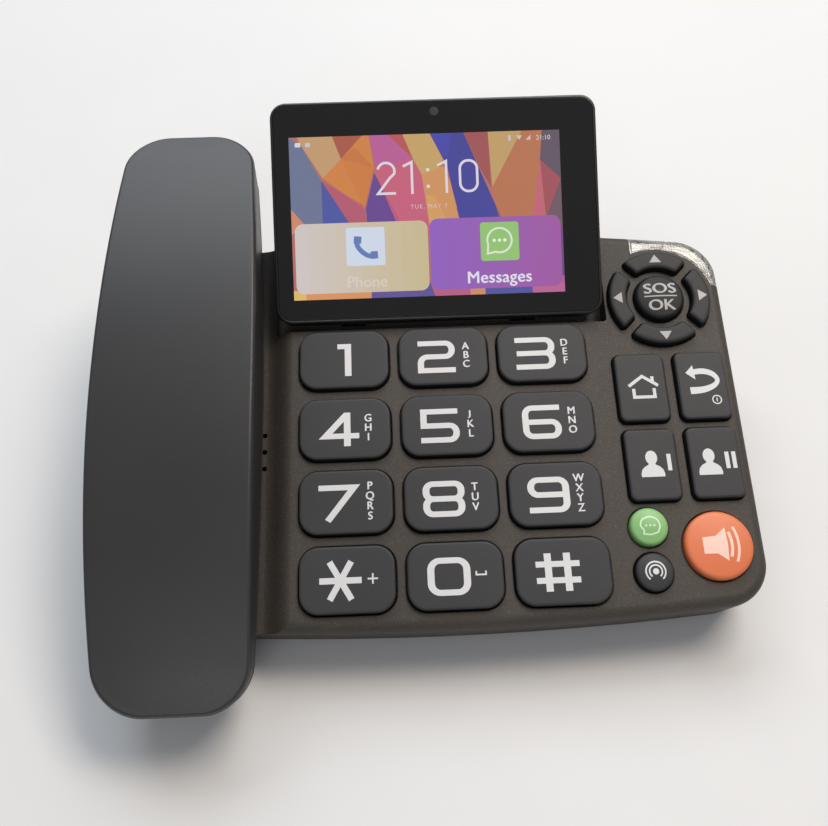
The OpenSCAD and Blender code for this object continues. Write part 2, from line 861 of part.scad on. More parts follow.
// Stations along one side: [y, how far the corner draws the side in]
hs_stations = concat(
    [
        for (i = [0:corner_steps])
            [hs_front + hs_corner * (1 - cos(90 * i / corner_steps)),
                hs_corner * (1 - sin(90 * i / corner_steps))]
    ],
    [
        for (i = [1:side_steps])
            [hs_front + hs_corner + (2 * hs_half_len - 2 * hs_corner) * i / (side_steps + 1), 0]
    ],
    [
        for (i = [corner_steps:-1:0])
            [hs_back - hs_corner * (1 - cos(90 * i / corner_steps)),
                hs_corner * (1 - sin(90 * i / corner_steps))]
    ]
);

// One ring of the handset, drawn in by d. level is a flat height, or the back's arch plus drop
function hs_point(side, st, d, arched, level) =
    let (y = hs_mid_y + (st[0] - hs_mid_y) * (1 - d / hs_half_len))
    [hs_x + side * (hs_half(st[0], side) - st[1] - d), y, arched ? hs_top(st[0]) + level : level];

function hs_ring(d, arched, level) = concat(
    [for (k = [0:len(hs_stations) - 1]) hs_point(1, hs_stations[k], d, arched, level)],
    [for (k = [len(hs_stations) - 1:-1:0]) hs_point(-1, hs_stations[k], d, arched, level)]
);

// Solid through rings whose left and right sides mirror each other; the end faces are strips
module strip_loft(rings) {
    n = len(rings[0]);
    m = len(rings);
    top = (m - 1) * n;
    polyhedron(
        points = [for (r = rings) each r],
        faces = concat(
            [
                for (k = [0:m - 2]) for (i = [0:n - 1])
                    each [
                        [k * n + i, (k + 1) * n + i, k * n + (i + 1) % n],
                        [k * n + (i + 1) % n, (k + 1) * n + i, (k + 1) * n + (i + 1) % n]
                    ]
            ],
            [
                for (i = [0:n / 2 - 2])
                    each [
                        [i, i + 1, n - 1 - i],
                        [i + 1, n - 2 - i, n - 1 - i],
                        [top + i, top + n - 1 - i, top + i + 1],
                        [top + i + 1, top + n - 1 - i, top + n - 2 - i]
                    ]
            ]
        )
    );
}

module handset_outer_shell() {
    color(shell_grey) on_panel() difference() {
        strip_loft([
            hs_ring(hs_draft, false, hs_seam_z), hs_ring(0, true, -2.2),
            hs_ring(0.3, true, -1.1), hs_ring(1.1, true, -0.3), hs_ring(2.2, true, 0)
        ]);
        strip_loft([hs_ring(hs_wall + hs_draft, false, hs_seam_z - 1), hs_ring(hs_wall, true, -hs_wall - 1)]);
    }
}

module pad_block(i, grow, z0, z1) {
    w = hs_pad_half_w + grow;
    y0 = hs_pads_y[i][0] - grow;
    y1 = hs_pads_y[i][1] + grow;
    translate([hs_x - w, y0, z0]) plate(2 * w, y1 - y0, z1 - z0, 6 + grow);
}

receiver_y = 41;
mouth_y = -96;
contact_t = 0.6;
hs_screw_at = [[hs_x, 55], [hs_x, -73]];

module handset_inner_shell() {
    floor_z = hs_grip_z;
    color(shell_grey) on_panel() difference() {
        union() {
            difference() {
                strip_loft([
                    hs_ring(hs_draft + 2.4, false, floor_z), hs_ring(hs_draft + 0.8, false, floor_z + 0.8),
                    hs_ring(hs_draft, false, floor_z + 2.2), hs_ring(hs_draft, false, hs_seam_z - 0.05)
                ]);
                strip_loft([hs_ring(hs_draft + 2.8, false, floor_z + hs_wall),
                    hs_ring(hs_draft + 2.8, false, hs_seam_z + 1)]);
            }
            for (i = [0, 1]) pad_block(i, 0, hs_pad_z, floor_z + 1);
        }
        for (i = [0, 1]) pad_block(i, -hs_wall, hs_pad_z + hs_wall, floor_z + 4);
        // sound openings of the earpiece and the mouthpiece
        for (a = [0:60:300]) {
            translate([hs_x + 5 * cos(a), receiver_y + 5 * sin(a), hs_pad_z - 1])
                cylinder(r = 0.9, h = 5, $fn = 16);
        }
        translate([hs_x, receiver_y, hs_pad_z - 1]) cylinder(r = 0.9, h = 5, $fn = 16);
        for (x = [-3, 0, 3]) {
            translate([hs_x + x, mouth_y, hs_pad_z - 1]) cylinder(r = 0.8, h = 5, $fn = 16);
        }
        for (x = pins_x) {
            translate([x - 2.5, pins_y - 3.5, hs_pad_z - 1]) cube([5, 7, 5]);
        }
        for (p = hs_screw_at) {
            translate([p[0], p[1], hs_pad_z - 1]) cylinder(r = 1.1, h = 6);
            translate([p[0], p[1], hs_pad_z - 1]) cylinder(r = 2.1, h = 2.2);
        }
    }
}

module handset_screws() {
    color(metal) on_panel() for (p = hs_screw_at) {
        translate([p[0], p[1], hs_pad_z + 0.3]) difference() {
            union() {
                cylinder(r = 2, h = 0.9);
                cylinder(r = 1.05, h = 7);
            }
            translate([0, 0, -soft]) cylinder(r = 0.9, h = 0.5, $fn = 6);
        }
    }
}

module handset_contacts() {
    color([0.85, 0.65, 0.3]) on_panel() for (x = pins_x) {
        translate([x - 2.4, pins_y - 3.4, hs_pad_z]) cube([4.8, 6.8, contact_t]);
        translate([x - 1, pins_y - 1, hs_pad_z + contact_t - soft]) cube([2, 2, 3.4]);
    }
}

module handset_receiver() {
    color([0.12, 0.12, 0.12]) on_panel() translate([hs_x, receiver_y, hs_pad_z + hs_wall + 0.1]) {
        cylinder(r = 10, h = 3);
        translate([0, 0, 3 - soft]) cylinder(r = 6.5, h = 1.6);
    }
}

module handset_microphone() {
    color([0.8, 0.8, 0.78]) on_panel() translate([hs_x, mouth_y, hs_pad_z + hs_wall + 0.1]) {
        cylinder(r = 4.5, h = 2.2);
        translate([0, 0, 2.2 - soft]) cylinder(r = 2, h = 0.6);
    }
}

module handset_board() {
    color(board_green) on_panel() {
        translate([hs_x - 11, -50, -1.8]) cube([22, 66, 1.2]);
        translate([hs_x - 5, -30, -0.6 - soft]) cube([10, 10, 1.4]);
        translate([hs_x - 6, -8, -0.6 - soft]) cube([12, 8, 1]);
    }
}

module handset_battery() {
    color([0.2, 0.35, 0.6]) on_panel() translate([hs_x - 14, -44, 2]) cube([28, 52, 7]);
}

// ---------- what is drawn ----------

base_top_shell();
base_bottom_shell();
rubber_feet();
base_screws();
battery_door();
key_1();
key_2();
key_3();
key_4();
key_5();
key_6();
key_7();
key_8();
key_9();
key_star();
key_0();
key_hash();
nav_key_right();
nav_key_up();
nav_key_left();
nav_key_down();
ok_key();
home_key();
back_key();
contact_key_1();
contact_key_2();
green_key();
dark_key();
speaker_key();
key_mat();
main_board();
base_battery();
loudspeaker();
antenna();
power_socket();
indicator_lens();
indicator_board();
hook_plunger();
charge_pins();
hinge_bracket();
hinge_pin();
screen_bezel();
screen_glass();
lcd_panel();
screen_board();
camera();
screen_back();
screen_screws();
handset_outer_shell();
handset_inner_shell();
handset_receiver();
handset_microphone();
handset_board();
handset_battery();
handset_contacts();
handset_screws();
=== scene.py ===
"""Looks of the desk phone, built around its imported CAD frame.

Shapes are worked out in millimetres on the key panel: X to the right, Y up the slope and Z out of
the panel, with the origin at the top left corner of key 1's opening. The matrix PANEL takes them to
the row frame, and SCREEN does so for shapes drawn on the screen's glass.
"""

import json
import math

import bmesh
import bpy
import numpy as np
from mathutils import Matrix, Vector


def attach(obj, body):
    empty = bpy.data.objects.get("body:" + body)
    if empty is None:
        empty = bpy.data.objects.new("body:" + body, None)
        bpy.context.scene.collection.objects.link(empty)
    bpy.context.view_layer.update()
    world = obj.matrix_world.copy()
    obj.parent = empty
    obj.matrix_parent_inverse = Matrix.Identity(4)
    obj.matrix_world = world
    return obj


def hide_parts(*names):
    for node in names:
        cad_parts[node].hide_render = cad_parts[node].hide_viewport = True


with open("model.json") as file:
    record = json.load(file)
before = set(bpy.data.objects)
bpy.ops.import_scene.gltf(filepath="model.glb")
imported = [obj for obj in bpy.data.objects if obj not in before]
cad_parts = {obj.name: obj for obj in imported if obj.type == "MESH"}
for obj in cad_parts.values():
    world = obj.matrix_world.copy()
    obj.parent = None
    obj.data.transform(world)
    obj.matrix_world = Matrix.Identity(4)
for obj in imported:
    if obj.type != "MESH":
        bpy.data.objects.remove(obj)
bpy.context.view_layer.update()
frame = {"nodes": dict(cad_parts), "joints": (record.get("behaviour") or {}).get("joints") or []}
nodes = frame["nodes"]
joints = {j["name"]: j for j in frame["joints"]}

MM = 0.001
KEY_GAP = 0.35
EDGE_ROUND = 3.5
FRONT_BOW = 4.5
BACK_BOW = 6.7
BASE_CORNER = 12.0
WALL = 2.4


# ---------------------------------------------------------------- places

lift_axis = Vector(joints["handset_lift"]["axis"]).normalized()
tilt = math.atan2(-lift_axis.y, lift_axis.z)
to_panel_axes = Matrix.Rotation(-tilt, 3, "X")


def node_points(name):
    """A CAD node's points in the panel's axes, in millimetres, from the row frame's origin."""
    mesh = nodes[name].data
    co = np.empty(len(mesh.vertices) * 3)
    mesh.vertices.foreach_get("co", co)
    return co.reshape(-1, 3) @ np.array(to_panel_axes).T / MM


key_1 = node_points("key_1")
datum = np.array([
    key_1[:, 0].min() - KEY_GAP,
    key_1[:, 1].max() + KEY_GAP,
    node_points("base_top_shell")[:, 2].max(),
])
PANEL = (
    Matrix.Rotation(tilt, 4, "X") @ Matrix.Translation(Vector(datum) * MM) @ Matrix.Scale(MM, 4)
)


def panel_box(name):
    """Lowest and highest corner of a CAD node on the panel, in millimetres."""
    p = node_points(name) - datum
    return p.min(0), p.max(0)


# The screen's own frame: X across, Y up the picture, Z out of the glass, origin at its lower left
SCREEN_TILT = math.radians(19.2)
SCREEN_AT = Vector((-0.86, 9.04, 5.96))
SCREEN = PANEL @ Matrix.Translation(SCREEN_AT) @ Matrix.Rotation(SCREEN_TILT, 4, "X")


# ---------------------------------------------------------------- mesh tools

def link(name, mesh):
    obj = bpy.data.objects.new(name, mesh)
    bpy.context.scene.collection.objects.link(obj)
    return obj


def mesh_piece(name, points, faces, matrix=PANEL):
    """A mesh object from points in millimetres, already in its place in the row frame."""
    mesh = bpy.data.meshes.new(name)
    mesh.from_pydata([matrix @ Vector(p) for p in points], [], faces)
    mesh.validate()
    obj = link(name, mesh)
    face_out(obj)
    return obj


def face_out(obj):
    """Makes the faces of closed shells point outwards."""
    bm = bmesh.new()
    bm.from_mesh(obj.data)
    bmesh.ops.recalc_face_normals(bm, faces=bm.faces)
    bm.to_mesh(obj.data)
    bm.free()


def loft(rings, closed_ends=True):
    """Points and faces through rings of equal length; the ends are closed by one face each."""
    n = len(rings[0])
    points = [p for ring in rings for p in ring]
    faces = [
        (k * n + i, k * n + (i + 1) % n, (k + 1) * n + (i + 1) % n, (k + 1) * n + i)
        for k in range(len(rings) - 1)
        for i in range(n)
    ]
    if closed_ends:
        faces.append(tuple(reversed(range(n))))
        faces.append(tuple(range((len(rings) - 1) * n, len(rings) * n)))
    return points, faces


def grid_faces(a, b):
    """Four-sided faces between two rows of point numbers."""
    return [(a[i], a[i + 1], b[i + 1], b[i]) for i in range(len(a) - 1)]


def fillet(r, degrees):
    """(inset, drop) round a quarter circle of radius r at those angles: 0 at the side, 90 on top."""
    turns = [math.radians(a) for a in degrees]
    return [(r * (1 - math.cos(a)), r * (1 - math.sin(a))) for a in turns]


def arc(cx, cy, r, start, end, steps):
    """steps + 1 points along an arc; the angles are in radians."""
    turns = [start + (end - start) * i / steps for i in range(steps + 1)]
    return [(cx + r * math.cos(a), cy + r * math.sin(a)) for a in turns]


def circle(cx, cy, r, steps=56):
    return arc(cx, cy, r, 0, 2 * math.pi, steps)[:-1]


def rounded(x0, y0, x1, y1, r, steps=10, along=0):
    """Outline of a rounded rectangle, anticlockwise, with extra points along the long edges."""
    def corner(cx, cy, start):
        return arc(cx, cy, r, start, start + math.pi / 2, steps)

    def run(xa, xb, y):
        return [(xa + (xb - xa) * i / (along + 1), y) for i in range(1, along + 1)]

    return (
        run(x0 + r, x1 - r, y0) + corner(x1 - r, y0 + r, -math.pi / 2)
        + corner(x1 - r, y1 - r, 0) + run(x1 - r, x0 + r, y1)
        + corner(x0 + r, y1 - r, math.pi / 2) + corner(x0 + r, y0 + r, math.pi)
    )


def shade(obj, degrees=35):
    """Smooth shading that stays crisp at corners sharper than this, weighted to the large faces."""
    mesh = obj.data
    mesh.polygons.foreach_set("use_smooth", [True] * len(mesh.polygons))
    bm = bmesh.new()
    bm.from_mesh(mesh)
    limit = math.radians(degrees)
    for e in bm.edges:
        e.smooth = len(e.link_faces) == 2 and e.calc_face_angle(0) < limit
    bm.to_mesh(mesh)
    bm.free()
    weigh = obj.modifiers.new("weigh", "WEIGHTED_NORMAL")
    weigh.keep_sharp = True
    return obj


def apply_modifiers(obj):
    bpy.context.view_layer.update()
    graph = bpy.context.evaluated_depsgraph_get()
    mesh = bpy.data.meshes.new_from_object(obj.evaluated_get(graph))
    obj.modifiers.clear()
    old = obj.data
    obj.data = mesh
    bpy.data.meshes.remove(old)


def from_bmesh(name, bm):
    """An object from a bmesh, which is used up."""
    mesh = bpy.data.meshes.new(name)
    bm.to_mesh(mesh)
    bm.free()
    return link(name, mesh)


def join_meshes(name, parts):
    """One object from several, without their modifiers."""
    bm = bmesh.new()
    for part in parts:
        bm.from_mesh(part.data)
        bpy.data.objects.remove(part)
    return from_bmesh(name, bm)


def carve(obj, tool, operation="DIFFERENCE"):
    """Boolean with the exact solver; the tool is used up."""
    step = obj.modifiers.new("carve", "BOOLEAN")
    step.operation = operation
    step.solver = "EXACT"
    step.object = tool
    apply_modifiers(obj)
    bpy.data.objects.remove(tool)


# ---------------------------------------------------------------- base shell

base_low, base_high = panel_box("base_top_shell")
X0, X1 = float(base_low[0]), float(base_high[0])
BASE_MID_X, BASE_HALF_W = (X0 + X1) / 2, (X1 - X0) / 2
Y_BACK = 35.7
Y_FRONT = -94.0
DEEP = 90.0


def bowed(p):
    """Bows the front and back edges of the base outline."""
    share = ((p[0] - BASE_MID_X) / BASE_HALF_W) ** 2
    return (p[0], p[1] + share * (-BACK_BOW if p[1] > (Y_FRONT + Y_BACK) / 2 else FRONT_BOW))


def base_outline(inset, steps=14, along=26):
    return [bowed(p) for p in rounded(
        X0 + inset, Y_FRONT + inset, X1 - inset, Y_BACK - inset, BASE_CORNER - inset, steps, along)]


outline = np.array(base_outline(0.0, 24, 60))


def body_z(x, y):
    """Height of the base's surface near its rounded edge, in panel millimetres."""
    ahead = np.roll(outline, -1, axis=0)
    run = ahead - outline
    p = np.array([x, y])
    t = np.clip(((p - outline) * run).sum(1) / np.maximum((run ** 2).sum(1), 1e-12), 0, 1)
    gap = float(np.sqrt((((outline + run * t[:, None]) - p) ** 2).sum(1)).min())
    if gap >= EDGE_ROUND:
        return 0.0
    return -EDGE_ROUND + math.sqrt(max(EDGE_ROUND ** 2 - (EDGE_ROUND - gap) ** 2, 0.0))


def ring_at(outline_points, z):
    return [(x, y, z) for x, y in outline_points]


def opening(shape, rim=0.35, low=-9.0):
    """Cutter for an opening in the panel with a softly rounded rim; shape(d) is its outline, grown
    by d."""
    rings = [ring_at(shape(0), low), ring_at(shape(0), -rim)]
    rings += [ring_at(shape(d), -drop) for d, drop in fillet(rim, (30, 60, 84))]
    rings.append(ring_at(shape(rim * 1.02), 4.0))
    return mesh_piece("cut", *loft(rings))


RECT_KEYS = {f"key_{k}": 6.0 for k in ("1", "2", "3", "4", "5", "6", "7", "8", "9", "star", "0", "hash")}
RECT_KEYS.update({k: 2.5 for k in ("home_key", "back_key", "contact_key_1", "contact_key_2")})
ROUND_KEYS = ("green_key", "dark_key", "speaker_key", "ok_key")
NAV_KEYS = {"nav_key_right": 0, "nav_key_up": 90, "nav_key_left": 180, "nav_key_down": 270}

ok_low, ok_high = panel_box("ok_key")
RING_X, RING_Y = float(ok_low[0] + ok_high[0]) / 2, float(ok_low[1] + ok_high[1]) / 2
RING_OUT, RING_IN, RING_HALF_GAP = 16.8, 10.3, 1.2


def sector(inset, turn, corner=1.3, steps=6):
    """Outline of one ring key, drawn in by inset, with rounded corners."""
    r0, r1, g = RING_IN + inset, RING_OUT - inset, RING_HALF_GAP + inset
    c = max(corner - inset * 0.5, 0.3)

    def corner_at(ring_r, sign, near_x):
        """Centre and bearing of the corner between an arc of the ring and a straight side."""
        across = g + c
        along_r = math.sqrt((ring_r - sign * c) ** 2 - across ** 2)
        centre = (along_r, across) if near_x else (across, along_r)
        return centre, math.atan2(centre[1], centre[0])

    out_x, out_y = corner_at(r1, 1, True), corner_at(r1, 1, False)
    in_x, in_y = corner_at(r0, -1, True), corner_at(r0, -1, False)
    points = arc(*out_x[0], c, -math.pi / 2, out_x[1], steps)
    points += arc(0, 0, r1, out_x[1], out_y[1], 12)[1:-1]
    points += arc(*out_y[0], c, out_y[1], math.pi, steps)
    points += arc(*in_y[0], c, math.pi, in_y[1] + math.pi, steps)
    points += arc(0, 0, r0, in_y[1], in_x[1], 12)[1:-1]
    points += arc(*in_x[0], c, in_x[1] + math.pi, 3 * math.pi / 2, steps)
    a = math.radians(turn - 45)
    return [(RING_X + x * math.cos(a) - y * math.sin(a), RING_Y + x * math.sin(a) + y * math.cos(a))
            for x, y in points]


TROUGH_IN, TROUGH_OUT, TROUGH_Z = -11.0, -2.0, -5.4
hs_low, hs_high = panel_box("handset_outer_shell")
HS_X = float(hs_low[0] + hs_high[0]) / 2
REST_HALF_W, REST_Z, REST_FRONT, REST_BACK = 17.6, -12.9, -66.0, 20.0
SPEAKER_AT, SPEAKER_PITCH, SPEAKER_HOLE_R = (-22, -37.4), 5.4, 0.8
HOOK_SLOT = ((-39.3, -14.8), (-29.7, -9.2))
PINS_X, PINS_Y, PIN_GAP = (-39.5, -29.5), -84.0, 1.25
EARS_X, EAR_W, EAR_GAP, LUG = (14.0, 70.0), 8.0, 0.4, 2.0
BAY_X0, BAY_X1, BAY_Y, BAY_Z = -7.6, 99.3, 0.9, -7.2


def trough_tool(sink=0.0, shift=0.0):
    """The hollow under the handset: a smooth slope down to a flat bed, run right through."""
    steps = 16
    profile = [(TROUGH_OUT + shift + 0.6, 9.0), (TROUGH_OUT + shift + 0.6, -sink)]
    for i in range(steps + 1):
        s = i / steps
        x = TROUGH_OUT + (TROUGH_IN - TROUGH_OUT) * s + shift
        profile.append((x, -sink + TROUGH_Z * (1 - math.cos(math.pi * s)) / 2 - 0.002))
    profile += [(X0 - 12, TROUGH_Z - sink), (X0 - 12, 9.0)]
    return upright_cut(profile, Y_FRONT - 12, Y_BACK + 12)


def upright_cut(shape, y0, y1):
    """Cutter with an outline drawn in x and z, between two places along y."""
    return mesh_piece("cut", *loft([[(x, y, z) for x, z in shape] for y in (y0, y1)]))


def column(shape, z0, z1, matrix=PANEL):
    """A block of that outline between two heights, for cutting."""
    return mesh_piece("cut", *loft([ring_at(shape, z0), ring_at(shape, z1)]), matrix)


def slab(x0, y0, x1, y1, z0, z1, r):
    """A block with rounded upright corners, for cutting."""
    return column(rounded(x0, y0, x1, y1, r, 6), z0, z1)


def rests_and_bay(grow, deeper):
    """Cutters for the two handset rests and the screen's bay."""
    left, right = HS_X - REST_HALF_W - grow, HS_X + REST_HALF_W + grow
    return [
        slab(left, REST_BACK - grow, right, Y_BACK + 20, REST_Z - deeper, 12, 3),
        slab(left, Y_FRONT - 20, right, REST_FRONT + grow, REST_Z - deeper, 12, 3),
        slab(BAY_X0 - grow, BAY_Y - grow, BAY_X1 + grow, Y_BACK + 20, BAY_Z - deeper, 12, 1.2),
    ]


LENS_IN, LENS_START = 18.65, (109.95, 12.65)


def band_shape(grow):
    """Outline of the indicator lens's opening: from an arc round the ring out past the base's corner."""
    r0, r1 = LENS_IN - 0.05 - grow, 28.0
    x0, y0 = LENS_START[0] - 0.05 - grow - RING_X, LENS_START[1] - 0.05 - grow - RING_Y
    return (arc(RING_X, RING_Y, r1, math.asin(y0 / r1), math.acos(x0 / r1), 40)
            + arc(RING_X, RING_Y, r0, math.acos(x0 / r0), math.asin(y0 / r0), 40))


def key_openings():
    """Cutters for the openings that the keys and the indicator lens stand in."""
    cuts = []
    for name, corner in RECT_KEYS.items():
        low, high = panel_box(name)
        cuts.append(opening(lambda d, low=low - KEY_GAP, high=high + KEY_GAP, r=corner:
                            rounded(low[0] - d, low[1] - d, high[0] + d, high[1] + d, r + d, 8)))
    for name in ROUND_KEYS:
        low, high = panel_box(name)
        cx, cy, r = (low[0] + high[0]) / 2, (low[1] + high[1]) / 2, (high[0] - low[0]) / 2 + KEY_GAP
        cuts.append(opening(lambda d, c=(cx, cy, r): circle(c[0], c[1], c[2] + d)))
    for turn in NAV_KEYS.values():
        cuts.append(opening(lambda d, t=turn: sector(-d, t), rim=0.25))
    cuts.append(opening(band_shape, rim=0.15, low=-3.1))
    return cuts


def cradle_openings():
    """Cutters for the loudspeaker's holes, the hook switch, the charging pins and the hinge's ears."""
    cuts = []
    for i in range(-2, 3):
        for j in range(-2, 3):
            if abs(i) + abs(j) < 4:
                at = (SPEAKER_AT[0] + i * SPEAKER_PITCH, SPEAKER_AT[1] + j * SPEAKER_PITCH)
                cuts.append(opening(lambda d, c=at: circle(*c, SPEAKER_HOLE_R + max(d, 0), 16),
                                    rim=0.2, low=-12))
    low, high = HOOK_SLOT
    cuts.append(slab(*low, *high, -12, 2, 1.5))
    for x in PINS_X:
        cuts.append(slab(x - PIN_GAP, PINS_Y - PIN_GAP, x + PIN_GAP, PINS_Y + PIN_GAP, -17, 0, 1.24))
    for x in EARS_X:
        x += SCREEN_AT.x
        cuts.append(slab(x - 0.2, 5.6, x + EAR_W + 0.2, 10.4, -12, 0, 0.5))
    return cuts


def build_base_shell():
    edge = [(0.0, DEEP)] + fillet(EDGE_ROUND, [90 * i / 8 for i in range(9)])
    shell = mesh_piece("base_shell", *loft([ring_at(base_outline(d), -z) for d, z in edge]))

    inside = column(base_outline(WALL), -DEEP - 2, -WALL)
    carve(inside, trough_tool(WALL, 0.8 * WALL))
    for tool in rests_and_bay(WALL, WALL):
        carve(inside, tool)
    carve(shell, inside)
    carve(shell, trough_tool())
    for tool in rests_and_bay(0.0, 0.0):
        carve(shell, tool)
    carve(shell, join_meshes("cuts", key_openings() + cradle_openings()))
    return shell


# ---------------------------------------------------------------- key caps

class Cap:
    """A key's cap: a straight wall, a rounded shoulder and a slightly crowned top. It also tells the
    height of its top at any point, for what is printed on it."""

    inner = (0.1, 0.25, 0.45, 0.7, 0.93)    # where the crown has rings, from shoulder to middle

    def __init__(self, name, corner=None, shoulder=0.8, crown=0.06):
        low, high = panel_box(name)
        self.name, self.shoulder, self.crown = name, shoulder, crown
        self.low, self.rise = float(low[2]), float(high[2])
        self.x, self.y = float(low[0] + high[0]) / 2, float(low[1] + high[1]) / 2
        self.half_w, self.half_h = float(high[0] - low[0]) / 2, float(high[1] - low[1]) / 2
        self.corner = self.half_w if corner is None else corner - KEY_GAP
        self.round = corner is None
        self.depth = min(self.half_w, self.half_h)

    def shape(self, d):
        if self.round:
            return circle(self.x, self.y, self.half_w - d, 72)
        w, h = self.half_w - d, self.half_h - d
        return rounded(self.x - w, self.y - h, self.x + w, self.y + h, max(self.corner - d, 0.06), 10, 6)

    def edge_gap(self, x, y):
        """Distance from a point on the top to the cap's edge."""
        qx = abs(x - self.x) - (self.half_w - self.corner)
        qy = abs(y - self.y) - (self.half_h - self.corner)
        return self.corner - math.hypot(max(qx, 0), max(qy, 0)) - min(max(qx, qy), 0)

    def crown_z(self, d):
        """Height of the top at a distance d from the cap's edge."""
        if d < self.shoulder:
            round_part = math.sqrt(max(self.shoulder ** 2 - (self.shoulder - d) ** 2, 0.0))
            return self.rise - self.crown - self.shoulder + round_part
        share = min((d - self.shoulder) / (self.depth - self.shoulder), 1.0)
        return self.rise - self.crown * (1 - share) ** 2

    def top(self, x, y):
        flat = self.shoulder + (self.depth - self.shoulder) * self.inner[-1]
        return self.crown_z(min(max(self.edge_gap(x, y), 0), flat))

    def build(self):
        edge_z = self.rise - self.crown
        wall = self.shape(0.0)
        rings = [ring_at(wall, self.low), ring_at(wall, edge_z - self.shoulder)]
        for d, drop in fillet(self.shoulder, (15, 30, 45, 60, 75, 90)):
            rings.append(ring_at(self.shape(d), edge_z - drop))
        for share in self.inner:
            d = self.shoulder + (self.depth - self.shoulder) * share
            rings.append(ring_at(self.shape(d), self.crown_z(d)))
        return mesh_piece(self.name + "_cap", *loft(rings))


class NavCap(Cap):
    """One of the four keys of the ring."""

    inner = (0.15, 0.4)

    def __init__(self, name, turn):
        low, high = panel_box(name)
        self.name, self.turn, self.shoulder, self.crown = name, turn, 1.0, 0.1
        self.low, self.rise = float(low[2]), float(high[2])
        self.depth = (RING_OUT - RING_IN) / 2 - KEY_GAP

    def shape(self, d):
        return sector(KEY_GAP + d, self.turn)

    def edge_gap(self, x, y):
        r = math.hypot(x - RING_X, y - RING_Y)
        return min(RING_OUT - r, r - RING_IN) - KEY_GAP


# ---------------------------------------------------------------- printing

def path(*knots, closed=False, steps=8):
    """A polyline through knots (x, y) or (x, y, r), with a corner of radius r drawn as an arc."""
    out, n = [], len(knots)
    for i, k in enumerate(knots):
        p = Vector(k[:2])
        r = k[2] if len(k) > 2 else 0
        if r == 0 or (not closed and i in (0, n - 1)):
            out.append(p)
            continue
        a = (Vector(knots[i - 1][:2]) - p).normalized()
        b = (Vector(knots[(i + 1) % n][:2]) - p).normalized()
        half = a.angle(b) / 2
        centre = p + (a + b).normalized() * (r / math.sin(half))
        start = p + a * (r / math.tan(half)) - centre
        end = p + b * (r / math.tan(half)) - centre
        turn = start.angle_signed(end)
        for s in range(steps + 1):
            c, q = math.cos(-turn * s / steps), math.sin(-turn * s / steps)
            out.append(centre + Vector((start.x * c - start.y * q, start.x * q + start.y * c)))
    return out


def arc_path(cx, cy, r, a0, a1, steps):
    """An arc between two angles in degrees."""
    return [Vector(p) for p in arc(cx, cy, r, math.radians(a0), math.radians(a1), steps)]


def fan(points):
    """A filled shape from its outline. Printed shapes are lists of patches, and a patch is a list of
    faces that share their edges."""
    return [[[Vector(p) for p in points]]]


def ribbon(points, width, closed=False):
    """A stroke of that width along a polyline."""
    points = [Vector(p) for p in points]
    n = len(points)
    left, right = [], []
    for i, p in enumerate(points):
        back = points[i - 1] if (i or closed) else None
        ahead = points[(i + 1) % n] if (i < n - 1 or closed) else None
        a = (p - back).normalized() if back is not None else (ahead - p).normalized()
        b = (ahead - p).normalized() if ahead is not None else a
        mid = a + b
        mid = a if mid.length < 1e-6 else mid.normalized()
        side = Vector((-mid.y, mid.x))
        reach = width / 2 / max(side.dot(Vector((-a.y, a.x))), 0.35)
        left.append(p + side * reach)
        right.append(p - side * reach)
    last = n if closed else n - 1
    return [[[left[i], right[i], right[(i + 1) % n], left[(i + 1) % n]] for i in range(last)]]


def ribbon_xy(points, width_x, width_y, closed=False):
    """A stroke whose upright runs are width_x wide and whose level runs are width_y wide."""
    stretched = [Vector((p.x / width_x, p.y / width_y)) for p in points]
    return moved(ribbon(stretched, 1.0, closed), sx=width_x, sy=width_y)


def moved(patches, dx=0.0, dy=0.0, sx=1.0, sy=None, turn=0.0):
    c, s = math.cos(math.radians(turn)), math.sin(math.radians(turn))
    sy = sx if sy is None else sy
    return [[[Vector((p[0] * sx * c - p[1] * sy * s + dx, p[0] * sx * s + p[1] * sy * c + dy))
              for p in poly] for poly in patch] for patch in patches]


def lettering(text, height, spacing=1.0, bold=0.0):
    """A line of text with capitals of that height, centred on the origin. bold is how far its two
    copies are set apart, to thicken the strokes."""
    curve = bpy.data.curves.new("letters", "FONT")
    curve.body = text
    curve.align_x = "CENTER"
    curve.size = 1.0
    curve.space_character = spacing
    curve.resolution_u = 4
    obj = link("letters", curve)
    bpy.context.view_layer.update()
    mesh = bpy.data.meshes.new_from_object(obj.evaluated_get(bpy.context.evaluated_depsgraph_get()))
    cap_height = 0.72
    k = height / cap_height
    polys = [[Vector((mesh.vertices[i].co.x * k, mesh.vertices[i].co.y * k - height / 2))
              for i in f.vertices] for f in mesh.polygons]
    bpy.data.objects.remove(obj)
    bpy.data.curves.remove(curve)
    bpy.data.meshes.remove(mesh)
    if not bold:
        return [polys]
    return moved([polys], -bold / 2, -bold / 4) + moved([polys], bold / 2, bold / 4)


def printed(name, patches, height_at):
    """A thin layer of paint on a key: patches in its plane, height_at(x, y) the top's height. Each patch
    lies a hair above the one before, so strokes that cross never share a surface."""
    parts = []
    for k, patch in enumerate(patches):
        parts.append(paint_patch(patch, height_at, 0.04 + 0.003 * k))
    return join_meshes(name, parts)


